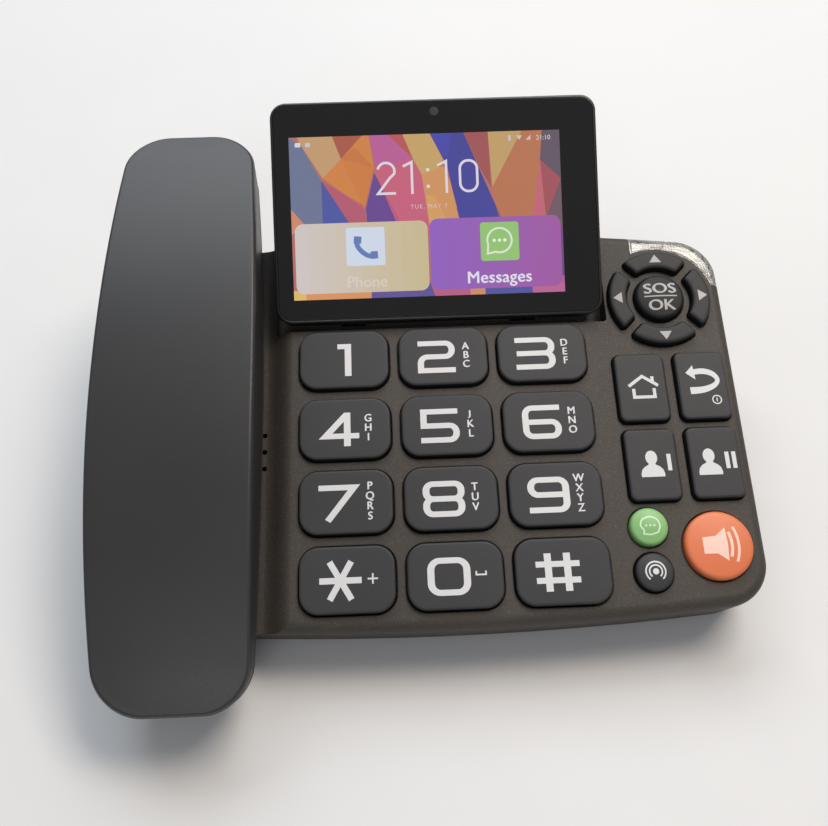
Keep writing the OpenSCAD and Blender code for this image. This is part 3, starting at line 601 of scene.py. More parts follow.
def paint_patch(polys, height_at, lift, pitch=1.3):
    """One patch of paint, cut into a net so that it follows the surface."""
    bm = bmesh.new()
    for poly in polys:
        bm.faces.new([bm.verts.new((p[0], p[1], 0)) for p in poly])
    bmesh.ops.remove_doubles(bm, verts=bm.verts, dist=1e-4)
    bmesh.ops.recalc_face_normals(bm, faces=bm.faces)
    for f in bm.faces:
        if f.normal.z < 0:
            f.normal_flip()
    for axis in (0, 1):
        reach = [v.co[axis] for v in bm.verts]
        normal = Vector((1 - axis, axis, 0))
        for k in range(math.ceil(min(reach) / pitch), math.floor(max(reach) / pitch) + 1):
            bmesh.ops.bisect_plane(bm, geom=bm.verts[:] + bm.edges[:] + bm.faces[:], dist=1e-5,
                                   plane_co=normal * (k * pitch + 0.013), plane_no=normal)
    bmesh.ops.triangulate(bm, faces=[f for f in bm.faces if len(f.verts) > 4])
    for v in bm.verts:
        v.co.z = height_at(v.co.x, v.co.y) + lift
    bmesh.ops.transform(bm, matrix=PANEL, verts=bm.verts)
    bm.normal_update()
    bmesh.ops.solidify(bm, geom=bm.faces[:], thickness=2 * lift * MM)
    return from_bmesh("patch", bm)


# ---------------------------------------------------------------- legends

DIGIT_W, DIGIT_H, STEM, BAR = 12.5, 10.9, 2.05, 1.7
HX, HY = (DIGIT_W - STEM) / 2, (DIGIT_H - BAR) / 2      # to the middle of the outer strokes
END_X, END_Y = DIGIT_W / 2, DIGIT_H / 2                 # to the digit's outside


def box_loop(y0, y1, r):
    """A closed stroke round a digit's box, between two heights."""
    return path((-HX, y0, r), (HX, y0, r), (HX, y1, r), (-HX, y1, r), closed=True)


def digit(name):
    """Strokes of a wide, squared digit or sign, centred on the origin."""
    loops = {"0": [box_loop(-HY, HY, 2.7)], "8": [box_loop(0, HY, 2.0), box_loop(-HY, 0, 2.0)]}
    if name in loops:
        return [q for line in loops[name] for q in ribbon_xy(line, STEM, BAR, closed=True)]
    if name == "star":
        polys = []
        for a, reach in ((0, 6.1), (60, 6.3), (120, 6.3)):
            c, s = math.cos(math.radians(a)), math.sin(math.radians(a))
            polys += ribbon([(-reach * c, -reach * s), (reach * c, reach * s)], 1.8)
        return polys
    r = 2.2
    lines = {
        "1": [[(-2.9, HY), (0.4, HY), (0.4, -END_Y)]],
        "2": [[(-END_X + 0.2, HY), (HX, HY, r), (HX, 0, r), (-HX, 0, r), (-HX, -HY), (END_X, -HY)]],
        "3": [[(-END_X, y), (HX, y, 2.1), (HX, 0, 2.1), (-END_X + 0.4, 0)] for y in (HY, -HY)],
        "4": [[(2.9, -END_Y), (2.9, END_Y - 0.1)],
              [(2.6, HY), (-HX + 1.5, -HY + 2.4), (END_X + 0.3, -HY + 2.4)]],
        "5": [[(END_X - 0.4, HY), (-HX, HY), (-HX, 0), (HX, 0, r), (HX, -HY, r), (-END_X, -HY)]],
        "6": [[(END_X - 0.2, HY), (-HX, HY, r), (-HX, -HY, r), (HX, -HY, r), (HX, 0, r),
               (-HX + STEM / 2, 0)]],
        "7": [[(-END_X, HY), (HX - 0.3, HY), (-3.4, -END_Y)]],
        "9": [[(-END_X + 0.2, -HY), (HX, -HY, r), (HX, HY, r), (-HX, HY, r), (-HX, 0, r),
               (HX - STEM / 2, 0)]],
        "hash": [[(-6.4, y), (6.4, y)] for y in (2.35, -2.35)]
                + [[(x, 5.5), (x, -5.5)] for x in (-2.8, 2.8)],
    }
    return [q for line in lines[name] for q in ribbon_xy(path(*line), STEM, BAR)]


LETTER_H, LETTER_PITCH, LETTER_X = 2.45, 3.05, 7.15
SIGN_X, SIGN_STROKE = 7.4, 0.48
LETTERS = {"2": "ABC", "3": "DEF", "4": "GHI", "5": "JKL", "6": "MNO", "7": "PQRS", "8": "TUV",
           "9": "WXYZ"}


def number_legend(name):
    """Everything printed on one number key, centred on the key."""
    sign = name.replace("key_", "")
    shift = {"1": 0.9, "hash": -1.6, "star": -1.9, "0": -1.9}.get(sign, -2.2)
    polys = moved(digit(sign), shift, -0.3, 0.95 if sign in "2567" else 1.0, 1.0)
    letters = LETTERS.get(sign, "")
    for i, letter in enumerate(letters):
        # the tail of a J hangs below the line, so it is drawn shorter and a little higher
        raised, squat = (0.27, 0.78) if letter == "J" else (0.0, 1.0)
        y = 0.15 + LETTER_PITCH * ((len(letters) - 1) / 2 - i) + raised
        polys += moved(lettering(letter, LETTER_H, bold=0.18), LETTER_X, y, 0.95, squat)
    if sign == "star":
        polys += moved(ribbon([(-1.5, 0), (1.5, 0)], SIGN_STROKE), SIGN_X, 0)
        polys += moved(ribbon([(0, -1.5), (0, 1.5)], SIGN_STROKE), SIGN_X, 0)
    if sign == "0":
        space = [(-1.4, 0.55), (-1.4, -0.5), (1.4, -0.5), (1.4, 0.55)]
        polys += moved(ribbon(space, SIGN_STROKE), SIGN_X, 0.4)
    return polys


def side_legend(name):
    if name == "home_key":
        roof = ribbon([(-4.5, 0.2), (0, 3.4), (4.7, 0.2)], 1.0)
        chimney = ribbon([(3.1, 1.5), (3.1, 3.3)], 1.0)
        walls = ribbon([(-3.1, -0.7), (-3.1, -3.5), (3.3, -3.5), (3.3, -0.7)], 1.0)
        return moved(roof + chimney + walls, 0.3, 0.1)
    if name == "back_key":
        head = fan([(-5.1, 4.1), (-2.6, 6.6), (-2.2, 1.8)])
        spine = [(-2.9, 4.3), (0.2, 4.5), (2.6, 3.9), (4.1, 2.7), (4.6, 1.4), (3.9, 0.1), (2.0, -1.0),
                 (-0.6, -1.7), (-4.3, -1.9)]
        widths = [1.8, 1.9, 1.8, 1.6, 1.4, 1.5, 1.8, 2.1, 2.3]
        band = tapered(smooth_line(spine, 5), smooth_values(widths, 5))
        ring = ribbon(circle(3.5, -5.1, 1.35, 32), 0.36, closed=True)
        bar = ribbon([(3.5, -5.7), (3.5, -4.5)], 0.36)
        return moved(head + band + ring + bar, 0.1, 0)
    two = name.endswith("2")
    head = [(1.95 * x, 2.1 + 2.2 * y) for x, y in circle(0, 0, 1, 28)]
    body = [(-3.8, -3.9), (3.8, -3.9), (3.9, -3.0), (3.5, -1.7), (2.6, -0.8), (1.2, -0.1), (1.0, 0.6),
            (-1.0, 0.6), (-1.2, -0.1), (-2.6, -0.8), (-3.5, -1.7), (-3.9, -3.0)]
    bust = moved(fan(head) + fan(body), -1.9 if two else -0.3, -0.1, 0.92, 1.0)
    for x in ((3.6, 5.7) if two else (5.0,)):
        bust += moved(ribbon([(0, -2.6), (0, 2.6)], 1.25), x, 0.4)
    return bust


def smooth_line(points, cuts):
    """Catmull-Rom through points."""
    p = [Vector(points[0])] + [Vector(q) for q in points] + [Vector(points[-1])]
    out = []
    for i in range(1, len(p) - 2):
        for s in range(cuts):
            t = s / cuts
            out.append(0.5 * ((2 * p[i]) + (p[i + 1] - p[i - 1]) * t
                              + (2 * p[i - 1] - 5 * p[i] + 4 * p[i + 1] - p[i + 2]) * t * t
                              + (3 * p[i] - p[i - 1] - 3 * p[i + 1] + p[i + 2]) * t ** 3))
    return out + [p[-2]]


def smooth_values(values, cuts):
    return [q.x for q in smooth_line([(v, 0) for v in values], cuts)]


def tapered(points, widths):
    n = len(points)
    left, right = [], []
    for i, p in enumerate(points):
        run = (points[min(i + 1, n - 1)] - points[max(i - 1, 0)]).normalized()
        side = Vector((-run.y, run.x)) * widths[i] / 2
        left.append(p + side)
        right.append(p - side)
    return [[[left[i], right[i], right[i + 1], left[i + 1]] for i in range(n - 1)]]


def round_legend(name):
    if name == "green_key":
        # a plain message bubble with three dots
        bubble = path((-2.1, -2.3), (-1.9, -1.3), (-2.9, 0.2, 0.9), (-2.3, 2.0, 1.2), (0, 3.0, 2.6),
                      (2.4, 2.0, 1.5), (3.0, 0, 1.6), (2.3, -1.9, 1.4), (0, -2.6, 2.4),
                      closed=True, steps=5)
        polys = ribbon(bubble, 0.5, closed=True)
        for x in (-1.2, 0, 1.2):
            polys += fan(circle(x, 0.15, 0.36, 14))
        return polys
    if name == "dark_key":
        polys = fan(circle(0, 0, 0.9, 24))
        for r in (1.85, 2.85):
            polys += ribbon(arc_path(0, 0, r, -50, 230, 28), 0.45)
        return polys
    if name == "speaker_key":
        horn = fan([(-5.0, 2.3), (-1.1, 2.6), (1.9, 5.0), (2.2, 0), (1.9, -4.8), (-1.1, -2.6),
                    (-5.0, -2.5)])
        waves = tapered(arc_path(-7.2, 0, 10.6, -20, 20, 12), [0.9] * 13)
        waves += tapered(arc_path(-7.2, 0, 12.6, -24, 24, 12), [0.8] * 13)
        return horn + waves
    sos = moved(lettering("SOS", 3.7, bold=0.25), 0, 2.8, 1.2, 1)
    ok = moved(lettering("OK", 3.7, bold=0.25), 0, -3.1, 1.15, 1)
    return sos + ok + ribbon([(-5.3, -0.15), (5.3, -0.15)], 0.42)


# ---------------------------------------------------------------- handset

HS_FRONT, HS_BACK = float(hs_low[1]), float(hs_high[1])
HS_MID_Y, HS_HALF_LEN = (HS_FRONT + HS_BACK) / 2, (HS_BACK - HS_FRONT) / 2
HS_MID_HALF = 24.1
HS_LEFT, HS_RIGHT = (19.3, 20.5), (22.7, 20.0)
HS_MID_Z, HS_ENDS_Z = 20.5, (8.0, 12.0)
HS_SEAM_Z, HS_GRIP_Z, HS_PAD_Z = -0.6, -4.6, -12.6
HS_CORNER, HS_DRAFT, HS_CROWN = 13.0, 0.8, 0.5
HS_PADS_Y, HS_PAD_HALF = ((-107.0, -68.0), (22.0, 60.0)), 16.6
HS_SOUND_Y, HS_MICROPHONE_Y, HS_SCREWS_Y = 41.0, -96.0, (55.0, -73.0)


def hs_fade(y, middle, ends):
    """A value that falls off from the middle of the handset to its front and back ends."""
    s = (y - HS_MID_Y) / HS_HALF_LEN
    return middle - (middle - ends[0 if y < HS_MID_Y else 1]) * s * s


def hs_arch(y):
    """Height of the arched back over the panel."""
    return hs_fade(y, HS_MID_Z, HS_ENDS_Z)


def hs_stations():
    """[y, how far the corner draws the side in] from the front end to the back end."""
    corner, side = 14, 46
    end = fillet(HS_CORNER, [90 * i / corner for i in range(corner + 1)])
    front = [(HS_FRONT + along, cut) for along, cut in end]
    straight = 2 * HS_HALF_LEN - 2 * HS_CORNER
    middle = [(HS_FRONT + HS_CORNER + straight * i / (side + 1), 0.0) for i in range(1, side + 1)]
    back = [(HS_BACK - along, cut) for along, cut in reversed(end)]
    return front + middle + back


STATIONS = hs_stations()
QUARTER = (90, 72, 54, 36, 18, 0)


def hs_side(d, side):
    """One half of the handset's outline, drawn in by d, as (x, y, y where its arch is read)."""
    ends = HS_LEFT if side < 0 else HS_RIGHT
    return [(HS_X + side * (hs_fade(y, HS_MID_HALF, ends) - cut - d),
             HS_MID_Y + (y - HS_MID_Y) * (1 - d / HS_HALF_LEN), y) for y, cut in STATIONS]


def hs_skin(levels, across=16, crown=HS_CROWN):
    """Points and faces of a handset shell: walls through [inset, level] rings and a cap over the last.
    A ring that is arched follows the back's arch."""
    rings = []
    for d, level, follows in levels:
        side = hs_side(d, 1) + hs_side(d, -1)[::-1]
        rings.append([(x, y, (hs_arch(at) + level) if follows else level) for x, y, at in side])
    points, faces = loft(rings, closed_ends=False)
    n = len(rings[0])
    base = (len(rings) - 1) * n
    d_last, level_last, follows_last = levels[-1]
    rows = []
    for k, (left, right) in enumerate(zip(hs_side(d_last, -1), hs_side(d_last, 1))):
        x0, y, at = left
        row = [base + n - 1 - k]
        end_fade = min(1.0, min(at - HS_FRONT, HS_BACK - at) / 12.0)
        for i in range(1, across):
            u = -1 + 2 * i / across
            rise = crown * (1 - u * u) * math.sin(math.pi / 2 * end_fade)
            z = (hs_arch(at) if follows_last else 0) + level_last + rise
            row.append(len(points))
            points.append((x0 + (right[0] - x0) * (1 + u) / 2, y, z))
        row.append(base + k)
        rows.append(row)
    for a, b in zip(rows, rows[1:]):
        faces += grid_faces(a, b)
    # close the open bottom
    faces += grid_faces([n - 1 - k for k in range(n // 2)], list(range(n // 2)))
    return points, faces


def build_handset_outer():
    levels = [(HS_DRAFT + 0.35, HS_SEAM_Z, False), (HS_DRAFT, HS_SEAM_Z + 0.35, False)]
    levels += [(d, -HS_CROWN - drop, True) for d, drop in (
        (0.0, 1.8), (0.22, 1.05), (0.32, 0.7), (0.5, 0.4), (0.75, 0.18), (1.05, 0.05), (1.4, 0.0))]
    return mesh_piece("handset_back_cover", *hs_skin(levels))


def build_handset_inner():
    """Lower cover of the handset with its two pads, sound openings and contact window."""
    levels = [(HS_DRAFT + d, HS_GRIP_Z + drop, False) for d, drop in fillet(3.0, QUARTER)]
    levels += [(HS_DRAFT, HS_SEAM_Z - 0.4, False), (HS_DRAFT + 0.35, HS_SEAM_Z - 0.08, False)]
    cover = mesh_piece("handset_front_cover", *hs_skin(levels, crown=0.0))
    pad_levels = [(HS_GRIP_Z + 2, -0.6), (HS_GRIP_Z + 0.4, -0.5), (HS_GRIP_Z - 0.5, 0.0),
                  (HS_PAD_Z + 1.8, 0.25), (HS_PAD_Z + 0.9, 0.55), (HS_PAD_Z + 0.3, 1.1), (HS_PAD_Z, 2.0)]
    for y0, y1 in HS_PADS_Y:
        rings = [ring_at(rounded(HS_X - HS_PAD_HALF + d, y0 + d, HS_X + HS_PAD_HALF - d, y1 - d,
                                 6.0, 10, 4), z) for z, d in pad_levels]
        carve(cover, mesh_piece("pad", *loft(rings)), "UNION")
    holes = [slab(x - 2.5, PINS_Y - 3.5, x + 2.5, PINS_Y + 3.5, HS_PAD_Z - 1, HS_PAD_Z + 3, 0.4)
             for x in PINS_X]
    sound = [(HS_X, HS_SOUND_Y, 0.9)]
    sound += [(x, y, 0.9) for x, y in circle(HS_X, HS_SOUND_Y, 5.0, 6)]
    microphone = [(HS_X + dx, HS_MICROPHONE_Y, 0.8) for dx in (-3, 0, 3)]
    screws = [(HS_X, y, 2.1) for y in HS_SCREWS_Y]
    for x, y, r in sound + microphone + screws:
        holes.append(column(circle(x, y, r, 20), HS_PAD_Z - 1, HS_PAD_Z + 2.2))
    carve(cover, join_meshes("cuts", holes))
    return cover


# ---------------------------------------------------------------- indicator lens

def resample(points, count):
    """count + 1 points evenly along a polyline."""
    points = np.array(points)
    along = np.concatenate([[0], np.cumsum(np.hypot(*np.diff(points, axis=0).T))])
    marks = np.linspace(0, along[-1], count + 1)
    return np.stack([np.interp(marks, along, points[:, k]) for k in (0, 1)], axis=1)


def build_lens():
    """Clear ribbed lens from an arc round the ring out to the base's edge: a narrow tail that widens
    round the corner. Ribs run along it, with a smooth rim on the outside."""
    around, across = 150, 26
    x0, y0 = LENS_START
    edge = [p for p in base_outline(0.12, 24, 60) if p[0] > x0 and p[1] > y0]
    edge.sort(key=lambda p: math.atan2(p[1] - RING_Y, p[0] - RING_X))
    edge = [(edge[0][0], y0)] + edge + [(x0, edge[-1][1])]
    outer = resample(edge, around)
    start, end = math.asin((y0 - RING_Y) / LENS_IN), math.acos((x0 - RING_X) / LENS_IN)
    angles = [start + (end - start) * i / around for i in range(around + 1)]
    inner = np.array([(RING_X + LENS_IN * math.cos(a), RING_Y + LENS_IN * math.sin(a)) for a in angles])
    rim, rib_pitch = 0.75, 0.62
    points, top = [], []
    for i in range(around + 1):
        row = []
        width = float(np.hypot(*(outer[i] - inner[i])))
        for j in range(across + 1):
            x, y = inner[i] + (outer[i] - inner[i]) * (j / across)
            from_in, from_out = width * j / across, width * (1 - j / across)
            inside = from_in > 0.3 and from_out > rim and 2 < i < around - 2
            rib = 0.5 - 0.5 * math.cos(2 * math.pi * from_in / rib_pitch)
            row.append(len(points))
            points.append((x, y, body_z(x, y) - 0.02 - (0.12 + 0.12 * rib if inside else 0)))
        top.append(row)
    count = len(points)
    points += [(x, y, min(-3.0, z - 0.4)) for x, y, z in points]
    floor = [[k + count for k in row] for row in top]
    faces = []
    for sheet in (top, floor):
        for a, b in zip(sheet, sheet[1:]):
            faces += grid_faces(a, b)
    for k in (0, -1):
        faces += grid_faces(top[k], floor[k])
        faces += grid_faces([row[k] for row in top], [row[k] for row in floor])
    return mesh_piece("indicator_cover", points, faces)


# ---------------------------------------------------------------- screen

SX0, SY0, SW, SH, ST = -5.8, -7.3, 104.2, 70.3, 9.5
PICTURE_W, PICTURE_H = 86.4, 51.84
BEZEL_T, SCREEN_CORNER = 4.2, 5.0
CAMERA_AT = (46.6, 59.0)
SCREEN_SCREWS_AT = ((-1.5, -3), (94, -3), (-1.5, 59), (94, 59))
VENTS, VENT_X, VENT_PITCH, VENT_Y = 8, 36, 3, (39, 49)
HINGE_Y = -3.0


def screen_shape(d):
    return rounded(SX0 + d, SY0 + d, SX0 + SW - d, SY0 + SH - d, max(SCREEN_CORNER - d, 0.1), 12, 2)


def screen_rings(levels):
    """The screen's outline at each (inset, level)."""
    return [ring_at(screen_shape(d), z) for d, z in levels]


def window_shape():
    return rounded(-0.6, -0.6, PICTURE_W + 0.6, PICTURE_H + 0.6, 0.4, 12, 2)


def wrapped_loft(rings):
    """A closed tube through rings, its last ring joined to its first."""
    points, faces = loft(rings, closed_ends=False)
    n, m = len(rings[0]), len(rings)
    faces += [((m - 1) * n + i, (m - 1) * n + (i + 1) % n, (i + 1) % n, i) for i in range(n)]
    return points, faces


def build_bezel():
    outside = [(0.12, -BEZEL_T), (0.0, -BEZEL_T + 0.15)]
    outside += [(d, -drop) for d, drop in fillet(0.65, (0, 30, 60, 90))]
    rings = screen_rings(outside + [(0.86, 0.0), (0.92, -0.12), (0.92, -0.82)])
    rings += [ring_at(window_shape(), -0.82), ring_at(window_shape(), -1.6)]
    rings += screen_rings([(1.6, -1.6), (1.6, -BEZEL_T)])
    bezel = mesh_piece("screen_frame", *wrapped_loft(rings), SCREEN)
    carve(bezel, column(circle(*CAMERA_AT, 2.95, 32), -2.5, 0.5, SCREEN))
    return bezel


def build_glass():
    rings = screen_rings([(1.0, -0.8), (1.0, -0.14), (1.04, -0.06), (1.12, -0.02)])
    return mesh_piece("screen_cover_glass", *loft(rings), SCREEN)


def screen_slab(x0, y0, x1, y1, z0, z1, r=0.2):
    return column(rounded(x0, y0, x1, y1, r, 5), z0, z1, SCREEN)


def build_screen_back():
    rings = screen_rings([(d, -ST + drop) for d, drop in fillet(2.2, QUARTER)]
                         + [(0.0, -BEZEL_T - 0.25), (0.12, -BEZEL_T - 0.04)])
    back = mesh_piece("screen_rear_cover", *loft(rings), SCREEN)
    carve(back, column(screen_shape(1.6), -ST + 1.8, -BEZEL_T + 1, SCREEN))
    slots = [(x - EAR_GAP, x + EAR_W + EAR_GAP) for x in EARS_X]
    for left, right in slots:
        carve(back, screen_slab(left - LUG, HINGE_Y - 3.2, right + LUG, HINGE_Y + 3.2,
                                -ST + 1, -BEZEL_T - 0.05), "UNION")
    for left, right in slots:
        carve(back, screen_slab(left, SY0 - 1, right, HINGE_Y + 3.4, -ST - 1, -2.0))
    holes = [column(circle(*at, 1.9, 24), -ST - 1, -ST + 1.2, SCREEN) for at in SCREEN_SCREWS_AT]
    for i in range(VENTS):
        x = VENT_X + i * VENT_PITCH
        holes.append(screen_slab(x - 0.6, VENT_Y[0], x + 0.6, VENT_Y[1], -ST - 1, -ST + 3, 0.55))
    carve(back, join_meshes("cuts", holes))
    return back


def camera_disc(name, steps, profile):
    rings = [ring_at(circle(*CAMERA_AT, r, steps), z) for r, z in profile]
    return mesh_piece(name, *loft(rings), SCREEN)


def build_camera_window():
    """The dark disc that closes the glass's hole over the front camera."""
    return camera_disc("camera_window", 40, ((2.9, -0.5), (2.9, 0.0), (1.45, 0.0), (1.45, -0.05)))


def build_camera_lens():
    """The small domed lens in the middle of that disc."""
    return camera_disc("camera_lens", 32,
                       ((1.4, -0.4), (1.4, 0.0), (1.0, 0.01), (0.6, 0.02), (0.2, 0.025)))


# ---------------------------------------------------------------- picture on the screen

WALLPAPER = [
    ((108, 118, 150), [(0, 1), (.045, .95), (.115, .73), (.115, .4), (0, .4)]),
    ((222, 142, 96), [(0, .56), (.045, .47), (0, .4)]),
    ((200, 158, 112), [(.045, .95), (.03, 1), (.16, 1), (.19, .86), (.12, .745)]),
    ((172, 88, 64), [(.16, 1), (.27, 1), (.19, .86)]),
    ((214, 132, 62), [(.27, 1), (.295, 1), (.31, .80), (.27, .55), (.12, .745), (.19, .86)]),
    ((200, 116, 66), [(.19, .86), (.24, .93), (.31, .80), (.27, .55)]),
    ((74, 84, 164), [(.115, .73), (.24, .4), (.115, .4)]),
    ((184, 90, 112), [(.115, .73), (.27, .57), (.28, .4), (.235, .4)]),
    ((104, 66, 146), [(.31, .77), (.42, .4), (.28, .4), (.275, .55)]),
    ((190, 92, 152), [(.295, 1), (.365, 1), (.45, .85), (.39, .80), (.315, .81)]),
    ((186, 84, 88), [(.365, 1), (.42, 1), (.455, .85)]),
    ((204, 96, 124), [(.315, .80), (.39, .83), (.45, .85), (.485, .75), (.51, .4), (.40, .4),
                      (.33, .70)]),
    ((204, 166, 102), [(.42, 1), (.52, 1), (.565, .84), (.545, .78), (.485, .75), (.455, .85)]),
    ((214, 150, 92), [(.485, .75), (.565, .80), (.59, .70), (.63, .4), (.51, .4)]),
    ((224, 186, 108), [(.50, .62), (.53, .62), (.59, .4), (.51, .4)]),
    ((62, 62, 152), [(.52, 1), (.645, 1), (.71, .73), (.79, .4), (.625, .4), (.58, .80)]),
    ((74, 74, 178), [(.52, 1), (.60, 1), (.585, .86), (.565, .86)]),
    ((164, 82, 80), [(.645, 1), (.735, 1), (.74, .66), (.70, .78)]),
    ((200, 162, 102), [(.735, 1), (.86, 1), (.745, .66)]),
    ((190, 116, 76), [(.86, 1), (.935, 1), (.925, .82), (.885, .4), (.77, .4), (.745, .66)]),
    ((204, 98, 120), [(.925, .82), (.93, .4), (.885, .4)]),
    ((96, 82, 96), [(.935, 1), (1, 1), (1, .70), (.925, .82)]),
    ((166, 78, 88), [(.925, .82), (1, .70), (.94, .45)]),
    ((112, 84, 96), [(1, .70), (1, .4), (.93, .4), (.94, .46)]),
    ((226, 190, 112), [(0, .06), (.045, .06), (.045, 0), (0, 0)]),
    ((224, 150, 96), [(.045, .06), (.285, .06), (.285, 0), (.045, 0)]),
    ((94, 80, 152), [(.285, .06), (.50, .1), (.52, 0), (.285, 0)]),
    ((190, 92, 132), [(.50, .1), (.65, .06), (.65, 0), (.52, 0)]),
    ((214, 142, 104), [(.65, .06), (.705, .06), (.705, 0), (.65, 0)]),
    ((80, 80, 160), [(.705, .06), (.88, .06), (.88, 0), (.705, 0)]),
    ((190, 100, 150), [(.88, .06), (1, .1), (1, 0), (.88, 0)]),
    ((110, 70, 130), [(.93, .4), (1, .4), (1, .06), (.93, .06)]),
]


def linear(rgb):
    """Screen colour 0 to 255 to linear light."""
    return tuple((c / 255 / 12.92) if c <= 10 else ((c / 255 + 0.055) / 1.055) ** 2.4 for c in rgb)


def clip_to_picture(poly):
    return [(min(max(u, 0.0), 1.0) * PICTURE_W, min(max(v, 0.0), 1.0) * PICTURE_H) for u, v in poly]


def phone_icon():
    """A plain telephone receiver, centred on the origin, about 2 wide."""
    spine = [(-0.80, 0.70), (-0.70, 0.10), (-0.30, -0.42), (0.20, -0.74), (0.80, -0.82)]
    grip = tapered(smooth_line(spine, 5), smooth_values([0.46, 0.42, 0.42, 0.42, 0.46], 5))
    ear = ribbon([(-1.0, 0.66), (-0.36, 0.60)], 0.62)
    mouth = ribbon([(0.74, -1.02), (0.70, -0.38)], 0.62)
    return grip + ear + mouth


def clock_digit(name):
    w, h, stroke = 2.75, 4.9, 0.8
    if name == "2":
        top = arc_path(0, h - 2.7, 2.7, 165, -20, 18)
        return ribbon(top + [(1.2, 0.1), (-w, -h), (w + 0.2, -h)], stroke)
    if name == "1":
        return ribbon([(-1.9, h - 1.3), (0.9, h), (0.9, -h - 0.4)], stroke)
    if name == "0":
        corners = [(x, y, 2.6) for x, y in ((-w, -h), (w, -h), (w, h), (-w, h))]
        return ribbon(path(*corners, closed=True), stroke, closed=True)
    dot = fan([(-.5, -.5), (.5, -.5), (.5, .5), (-.5, .5)])
    return moved(dot, 0, -3.0) + moved(dot, 0, 2.3)


def build_picture():
    """What the screen shows, as thin coloured shapes just on the glass, back layer first."""
    layers = [[(colour, clip_to_picture(poly)) for colour, poly in WALLPAPER]]

    def tile(x0, y0, x1, y1, left, right):
        """A rounded tile in strips that fade from one colour to the other."""
        shape = rounded(x0, y0, x1, y1, 2.6, 6)
        steps = 10
        out = []
        for i in range(steps):
            a, b = x0 + (x1 - x0) * i / steps, x0 + (x1 - x0) * (i + 1) / steps
            strip = [(min(max(x, a), b), y) for x, y in shape]
            clean = [p for k, p in enumerate(strip) if p != strip[k - 1]]
            mix = (i + 0.5) / steps
            out.append((tuple(l + (r - l) * mix for l, r in zip(left, right)), clean))
        return out

    layers.append(tile(0.9, 1.9, 43.2, 24.2, (214, 204, 204), (206, 190, 146))
                  + tile(43.8, 1.9, 85.7, 24.6, (146, 96, 196), (164, 88, 166)))
    layers.append([((214, 224, 240), rounded(17.1, 10.4, 29.4, 22.6, 0.7, 5)),
                   ((150, 202, 114), rounded(59.9, 10.6, 72.2, 22.9, 0.9, 5))])

    top = []

    def add(colour, patches):
        top.extend((colour, [tuple(p) for p in poly]) for patch in patches for poly in patch)

    add((100, 126, 186), moved(phone_icon(), 23.3, 16.3, 3.7))
    bubble = [(-3.9, -4.0)] + arc_path(0, 0.2, 3.9, 200, -110, 36)
    add((228, 240, 220), moved(ribbon(bubble, 0.62, closed=True), 66.0, 16.9))
    for x in (-1.7, 0, 1.7):
        add((238, 246, 232), moved(fan(circle(0, 0, 0.55, 14)), 66.0 + x, 17.1))
    add((222, 210, 196), moved(lettering("Phone", 3.7, bold=0.14), 23.4, 5.4))
    add((232, 230, 244), moved(lettering("Messages", 3.9, 1.03, 0.2), 65.6, 5.6))
    for sign, x in (("2", 30.6), ("1", 37.9), (":", 43.9), ("1", 48.9), ("0", 56.9)):
        add((230, 222, 232), moved(clock_digit(sign), x, 38.0))
    add((222, 196, 206), moved(lettering("TUE, MAY 7", 1.35, 1.25), 43.9, 28.7))

    # the status line: the time, then signal, network and battery marks, then two messages
    add((226, 222, 230), moved(lettering("21:10", 1.5), 81.2, 49.6))
    for mark in ([(75.6, 48.9), (77.1, 48.9), (77.1, 50.5)],
                 [(72.6, 50.4), (74.4, 50.4), (73.5, 48.9)],
                 [(70.0, 48.8), (70.8, 48.8), (70.8, 50.5), (70.0, 50.5)]):
        add((214, 200, 206), fan(mark))
    add((226, 222, 230), fan(rounded(1.9, 48.7, 3.7, 50.1, 0.3, 3)))
    add((206, 200, 214), fan(rounded(5.2, 48.7, 6.8, 50.0, 0.3, 3)))
    layers.append(top)

    bm = bmesh.new()
    paint = bm.loops.layers.float_color.new("picture")
    backing = [(0, 0), (PICTURE_W, 0), (PICTURE_W, PICTURE_H), (0, PICTURE_H)]
    layers.insert(0, [((184, 110, 104), backing)])
    for level, shapes in enumerate(layers):
        z = -0.012 + 0.008 * level
        for colour, poly in shapes:
            try:
                face = bm.faces.new([bm.verts.new((p[0], p[1], z)) for p in poly])
            except ValueError:
                continue
            face.normal_update()
            if face.normal.z < 0:
                face.normal_flip()
            for corner in face.loops:
                corner[paint] = (*linear(colour), 1.0)
    rim = [bm.verts.new((x, y, -0.02)) for x, y in backing]
    bm.faces.new(list(reversed(rim)))
    bmesh.ops.transform(bm, matrix=SCREEN, verts=bm.verts)
    return from_bmesh("screen_picture", bm)


# ---------------------------------------------------------------- materials

def put(node, values):
    """Sets the inputs of a node."""
    for key, value in values.items():
        node.inputs[key].default_value = value


def new_material(name):
    """A fresh material, with its node tree and its shader."""
    mat = bpy.data.materials.new(name)
    mat.use_nodes = True
    return mat, mat.node_tree, mat.node_tree.nodes["Principled BSDF"]


def mix_node(tree, factor, a, b):
    """A mix of two colours; each is three numbers or another node's output."""
    node = tree.nodes.new("ShaderNodeMix")
    node.data_type = "RGBA"
    for key, colour in (("A", a), ("B", b)):
        if isinstance(colour, bpy.types.NodeSocket):
            tree.links.new(colour, node.inputs[key])
        else:
            node.inputs[key].default_value = (*colour, 1)
    tree.links.new(factor, node.inputs["Factor"])
    return node.outputs["Result"]


def noise_node(tree, scale, detail=3.0):
    """Noise that stays fixed to the piece."""
    coords = tree.nodes.get("coords") or tree.nodes.new("ShaderNodeTexCoord")
    coords.name = "coords"
    node = tree.nodes.new("ShaderNodeTexNoise")
    put(node, {"Scale": scale, "Detail": detail, "Roughness": 0.5})
    tree.links.new(coords.outputs["Object"], node.inputs["Vector"])
    return node.outputs["Fac"]


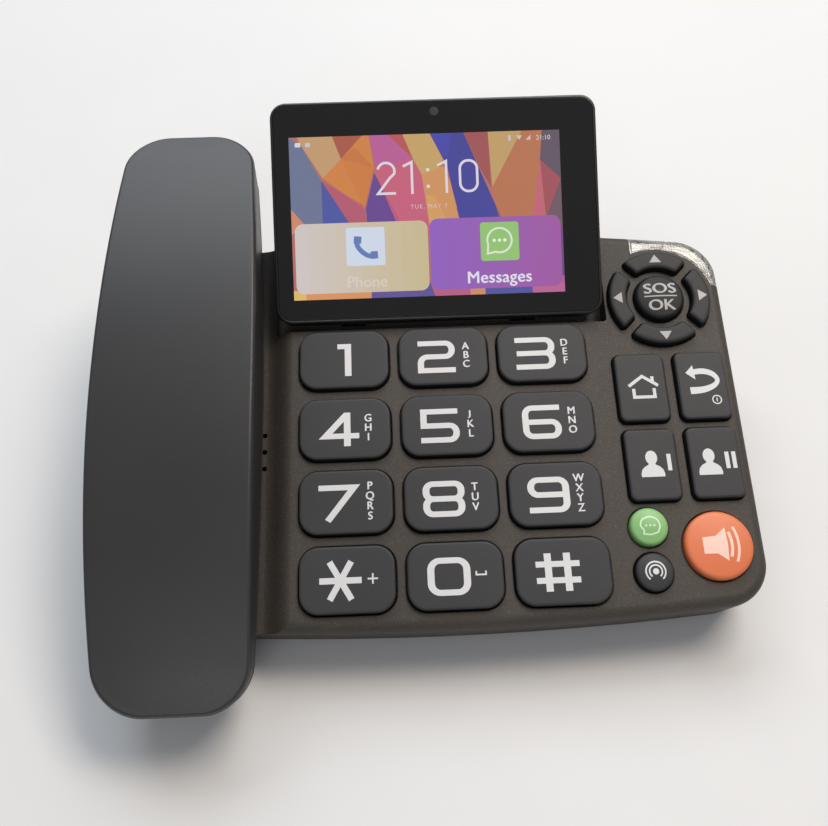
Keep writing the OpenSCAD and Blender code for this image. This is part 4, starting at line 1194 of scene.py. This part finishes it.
def spread(tree, value, low, high, out_low, out_high):
    """Stretches what lies between low and high over another range."""
    node = tree.nodes.new("ShaderNodeMapRange")
    put(node, {"From Min": low, "From Max": high, "To Min": out_low, "To Max": out_high})
    tree.links.new(value, node.inputs["Value"])
    return node.outputs["Result"]


def finish_material(name, dark, light, rough, grain, bump, speck=None, patch=18.0, specular=0.5,
                    metallic=0.0):
    """Moulded plastic, rubber or metal: soft patches of colour, a fine grain in bump and roughness,
    and, with speck, pale grains scattered over it. rough is its lowest and highest roughness."""
    mat, tree, shader = new_material(name)
    put(shader, {"Metallic": metallic, "Specular IOR Level": specular})
    cloud = spread(tree, noise_node(tree, patch), 0.3, 0.7, 0.0, 1.0)
    colour = mix_node(tree, cloud, dark, light)
    if speck:
        grains = spread(tree, noise_node(tree, 1900.0, 1.0), 0.55, 0.72, 0.0, 0.55)
        colour = mix_node(tree, grains, colour, speck)
    tree.links.new(colour, shader.inputs["Base Color"])
    fine = noise_node(tree, grain, 2.0)
    tree.links.new(spread(tree, fine, 0.3, 0.7, *rough), shader.inputs["Roughness"])
    lift = tree.nodes.new("ShaderNodeBump")
    put(lift, {"Strength": bump, "Distance": 0.0002})
    tree.links.new(fine, lift.inputs["Height"])
    tree.links.new(lift.outputs["Normal"], shader.inputs["Normal"])
    return mat


def grey(v, tint=(1.0, 1.0, 1.0)):
    """A grey in linear light, or a tinted one."""
    return tuple(v * t for t in tint)


WARM, COOL = (1.15, 1.0, 0.85), (0.98, 0.98, 1.06)

# Each finish: its name, its two colours, its lowest and highest roughness, grain, bump and extras
FINISHES = {
    "shell": ("shell_plastic", grey(0.032, WARM), grey(0.046, WARM), (0.50, 0.66), 2600, 0.35,
              {"speck": (0.115, 0.085, 0.06), "specular": 0.4}),
    "key": ("key_plastic", grey(0.033, COOL), grey(0.0405, COOL), (0.50, 0.60), 3000, 0.12,
            {"specular": 0.32}),
    # a darker copy of the key plastic for the key walls: painted shade standing in for the shadow that
    # falls on them
    "key_side": ("key_side_plastic", grey(0.010, COOL), grey(0.014, COOL), (0.6, 0.7), 3000, 0.12,
                 {"specular": 0.2}),
    "nav_key": ("nav_key_plastic", grey(0.021, COOL), grey(0.027, COOL), (0.50, 0.60), 3000, 0.12,
                {"specular": 0.32}),
    "ok_key": ("ok_key_plastic", grey(0.012, COOL), grey(0.016, COOL), (0.46, 0.56), 3000, 0.12,
               {"specular": 0.25}),
    "print": ("legend_paint", grey(0.60), grey(0.68), (0.5, 0.6), 2500, 0.05, {}),
    "print_grey": ("grey_legend_paint", grey(0.38), grey(0.46), (0.5, 0.6), 2500, 0.05, {}),
    "green": ("green_plastic", (0.19, 0.40, 0.14), (0.23, 0.47, 0.17), (0.38, 0.46), 2500, 0.06, {}),
    "orange": ("orange_plastic", (0.62, 0.15, 0.055), (0.70, 0.18, 0.07), (0.38, 0.46), 2500, 0.06,
               {}),
    "print_green": ("green_key_paint", (0.52, 0.72, 0.47), (0.58, 0.78, 0.53), (0.45, 0.55), 2500,
                    0.04, {}),
    "print_orange": ("orange_key_paint", (0.86, 0.55, 0.44), (0.90, 0.60, 0.50), (0.45, 0.55), 2500,
                     0.04, {}),
    "handset": ("handset_plastic", grey(0.027, COOL), grey(0.032), (0.38, 0.46), 2600, 0.10,
                {"specular": 0.44}),
    "frame": ("screen_plastic", grey(0.014), grey(0.018), (0.30, 0.38), 2400, 0.06, {}),
    "glass": ("cover_glass", grey(0.012), grey(0.014), (0.05, 0.08), 300, 0.0, {"specular": 0.4}),
    "rubber": ("rubber", grey(0.018), grey(0.028), (0.7, 0.85), 900, 0.4, {}),
    "steel": ("steel", grey(0.52), grey(0.62), (0.22, 0.36), 1500, 0.15, {"metallic": 1.0}),
    "gold": ("gold_contact", (0.75, 0.52, 0.20), (0.82, 0.60, 0.26), (0.2, 0.3), 1200, 0.1,
             {"metallic": 1.0}),
    "copper": ("copper", (0.70, 0.33, 0.18), (0.78, 0.40, 0.22), (0.25, 0.4), 1200, 0.1,
               {"metallic": 1.0}),
    "board": ("circuit_board", (0.01, 0.10, 0.04), (0.02, 0.16, 0.07), (0.3, 0.45), 700, 0.2,
              {"patch": 160}),
    "white_board": ("white_board", grey(0.72), grey(0.80), (0.4, 0.5), 900, 0.1, {}),
    "silicone": ("silicone", grey(0.30), grey(0.36), (0.55, 0.7), 1200, 0.15, {}),
    "wrap": ("battery_wrap", (0.03, 0.10, 0.30), (0.04, 0.13, 0.36), (0.25, 0.35), 600, 0.1, {}),
    "black": ("black_plastic", grey(0.015), grey(0.022), (0.45, 0.6), 1800, 0.2, {}),
}
MAT = {key: finish_material(*values, **extras) for key, (*values, extras) in FINISHES.items()}


def picture_material():
    """The lit picture behind the glass: its painted colours, lifted toward a pale grey in soft patches,
    a painted reflection of the glass's gloss on top.
    """
    mat, tree, shader = new_material("picture")
    paint = tree.nodes.new("ShaderNodeVertexColor")
    paint.layer_name = "picture"
    # painted reflection: a pale grey veil of 2 to 10 percent, in soft patches, mixed into the picture's
    # glow as the glass's glare
    painted_glare = spread(tree, noise_node(tree, 9.0, 1.0), 0.3, 0.7, 0.02, 0.10)
    glow = mix_node(tree, painted_glare, paint.outputs["Color"], (0.30, 0.28, 0.32))
    tree.links.new(glow, shader.inputs["Emission Color"])
    put(shader, {"Emission Strength": 0.92, "Base Color": (0.01, 0.01, 0.01, 1), "Roughness": 0.07})
    return mat


def lens_material():
    """Clear plastic over a pale board, with a fine net moulded on its underside."""
    mat, tree, shader = new_material("clear_lens")
    coords = tree.nodes.new("ShaderNodeTexCoord")
    cells = tree.nodes.new("ShaderNodeTexVoronoi")
    cells.distance = "CHEBYCHEV"
    put(cells, {"Scale": 1050.0, "Randomness": 0.1})
    tree.links.new(coords.outputs["Object"], cells.inputs["Vector"])
    net = spread(tree, cells.outputs["Distance"], 0.3, 0.5, 0.0, 1.0)
    colour = mix_node(tree, net, (0.40, 0.41, 0.39), (0.10, 0.105, 0.10))
    tree.links.new(colour, shader.inputs["Base Color"])
    gloss = spread(tree, noise_node(tree, 2200.0), 0.3, 0.7, 0.12, 0.22)
    tree.links.new(gloss, shader.inputs["Roughness"])
    put(shader, {"Transmission Weight": 0.25, "IOR": 1.49, "Coat Weight": 0.6, "Coat Roughness": 0.06})
    return mat


MAT["picture"] = picture_material()
MAT["lens"] = lens_material()


def dress(obj, key):
    """Gives an object one finish in place of what it had."""
    obj.data.materials.clear()
    obj.data.materials.append(MAT[key])
    return obj


# ---------------------------------------------------------------- pieces

def settle(obj, body, material, replaces=(), angle=35):
    """Finishes a piece: its material, shading, body and the CAD nodes that it stands for, which are
    hidden.
    """
    dress(obj, material)
    shade(obj, angle)
    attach(obj, body)
    if replaces:
        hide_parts(*replaces)
    return obj


def shade_key_walls(button):
    """Paints shade on the walls of a key, which stand square to the panel: they take a darker copy of
    the key plastic, a painted shade in place of the shadow that falls on them.
    """
    button.data.materials.append(MAT["key_side"])
    outward = (PANEL.to_3x3() @ Vector((0, 0, 1))).normalized()
    for face in button.data.polygons:
        # faces that stand up from the panel take the painted shade
        if face.normal.dot(outward) < 0.45:
            face.material_index = 1


PLUG_HOLE_R = 3.35


def cut_below_seam(shell, seam_height=0.009):
    """Takes away what lies below the seam, and the opening for the power plug. The seam's height is
    over the floor, in metres."""
    reach = 0.2
    around = [(-reach, -reach), (reach, -reach), (reach, reach), (-reach, reach)]
    carve(shell, column(around, -reach, seam_height, Matrix.Identity(4)))
    low, high = panel_box("power_socket")
    cx, cz = (low[0] + high[0]) / 2, (low[2] + high[2]) / 2
    carve(shell, upright_cut(circle(cx, cz, PLUG_HOLE_R, 40), Y_BACK - 12, Y_BACK + 8))


base_shell = build_base_shell()
cut_below_seam(base_shell)
settle(base_shell, "base", "shell", ["base_top_shell"])

caps = [Cap(name, corner) for name, corner in RECT_KEYS.items()]
caps += [NavCap(name, turn) for name, turn in NAV_KEYS.items()]
caps += [Cap(name, None, 1.3, 0.5) for name in ROUND_KEYS]
PAINT = {"green_key": ("green", "green_key", "print_green"),
         "speaker_key": ("orange", "orange_key", "print_orange"),
         "ok_key": ("ok_key", "key_plastic", "print_grey")}
for name in NAV_KEYS:
    PAINT[name] = ("nav_key", "key_plastic", "print_grey")
for cap in caps:
    plastic, slot_name, ink = PAINT.get(cap.name, ("key", "key_plastic", "print"))
    button = settle(cap.build(), cap.name, plastic, [cap.name], 40)
    # the walls of these keys take the painted shade
    if slot_name == "key_plastic":
        shade_key_walls(button)
    if cap.name.startswith("key_"):
        legend = moved(number_legend(cap.name), cap.x, cap.y)
    elif cap.name in NAV_KEYS:
        a = math.radians(NAV_KEYS[cap.name])
        mid = (RING_IN + RING_OUT) / 2 + 0.15
        arrow = [(1.55, 0), (-1.3, 1.95), (-1.3, -1.95)]
        legend = moved(fan(arrow), RING_X + mid * math.cos(a), RING_Y + mid * math.sin(a),
                       turn=NAV_KEYS[cap.name])
    elif cap.name in ROUND_KEYS:
        legend = moved(round_legend(cap.name), cap.x, cap.y)
    else:
        legend = moved(side_legend(cap.name), cap.x, cap.y)
    paint = printed(cap.name + "_legend", legend, cap.top)
    settle(paint, cap.name, ink, (), 60)

for piece, body, finish, slot_name, hidden, angle in (
        (build_lens(), "base", "lens", "clear_lens", ["indicator_lens"], 50),
        (build_handset_outer(), "handset", "handset", "handset_plastic", ["handset_outer_shell"], 50),
        (build_handset_inner(), "handset", "handset", "handset_plastic", ["handset_inner_shell"], 40),
        (build_bezel(), "screen", "frame", "screen_plastic", ["screen_bezel"], 40),
        (build_glass(), "screen", "glass", "cover_glass", ["screen_glass"], 40),
        (build_screen_back(), "screen", "frame", "screen_plastic", ["screen_back"], 40),
        (build_camera_window(), "screen", "glass", "cover_glass", (), 40),
        (build_camera_lens(), "screen", "key", "key_plastic", (), 40)):
    settle(piece, body, finish, hidden, angle)
picture = build_picture()
dress(picture, "picture")
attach(picture, "screen")

NODE_FINISH = {
    "shell": ["base_bottom_shell", "battery_door"],
    "rubber": ["rubber_feet"],
    "steel": ["base_screws", "screen_screws", "handset_screws", "hinge_bracket", "hinge_pin"],
    "silicone": ["key_mat"],
    "board": ["main_board", "screen_board", "handset_board"],
    "wrap": ["base_battery", "handset_battery"],
    "black": ["loudspeaker", "power_socket", "camera", "handset_receiver", "hook_plunger", "lcd_panel"],
    "copper": ["antenna"],
    "white_board": ["indicator_board", "handset_microphone"],
    "gold": ["charge_pins", "handset_contacts"],
}
for key, names in NODE_FINISH.items():
    for name in names:
        dress(nodes[name], key)


# ---------------------------------------------------------------- floor, light and camera

def build_floor():
    size = 2.5
    floor = mesh_piece("floor", [(-size, -size, 0), (size, -size, 0), (size, size, 0), (-size, size, 0)],
                       [(0, 1, 2, 3)], Matrix.Identity(4))
    mat = finish_material("pale_floor", grey(0.66), grey(0.70), (0.6, 0.75), 40, 0.02, patch=3.0)
    floor.data.materials.append(mat)


def area_light(name, place, target, size, power, colour):
    data = bpy.data.lights.new(name, "AREA")
    data.shape = "RECTANGLE"
    data.size, data.size_y = size
    data.energy = power
    data.color = colour
    obj = link(name, data)
    obj.location = place
    obj.rotation_euler = (Vector(target) - Vector(place)).to_track_quat("-Z", "Y").to_euler()


build_floor()
area_light("window", (-0.15, 0.88, 1.02), (-0.03, 0.05, 0.05), (1.2, 0.7), 12.0, (0.86, 0.93, 1.0))
area_light("ceiling", (0.45, 0.3, 1.1), (0.08, 0, 0.05), (0.6, 0.4), 9.5, (1.0, 0.89, 0.78))
area_light("front", (-0.15, -0.85, 0.72), (-0.04, -0.08, 0.05), (0.5, 0.3), 1.9, (0.96, 0.97, 1.0))

world = bpy.data.worlds.new("studio")
world.use_nodes = True
put(world.node_tree.nodes["Background"], {"Color": (0.93, 0.95, 1.0, 1), "Strength": 0.24})
bpy.context.scene.world = world
bpy.context.scene.view_settings.view_transform = "Standard"

CAMERA_PLACE = Vector((30.8775, -116.0593, 248.7555))
PITCH, ROLL_Y, ROLL_Z = -0.3397061, 0.0194157, 0.0433344
to_camera = (Matrix.Rotation(ROLL_Z, 3, "Z") @ Matrix.Rotation(PITCH, 3, "X")
             @ Matrix.Rotation(ROLL_Y, 3, "Y"))
camera_data = bpy.data.cameras.new("camera_view")
camera_data.sensor_width = 36.0
camera_data.lens = 36.957
camera_data.clip_start = 0.01
camera = link("camera_view", camera_data)
turn = Matrix.Rotation(tilt, 3, "X") @ to_camera.transposed()
camera.matrix_world = Matrix.Translation(PANEL @ CAMERA_PLACE) @ turn.to_4x4()
bpy.context.scene.camera = camera
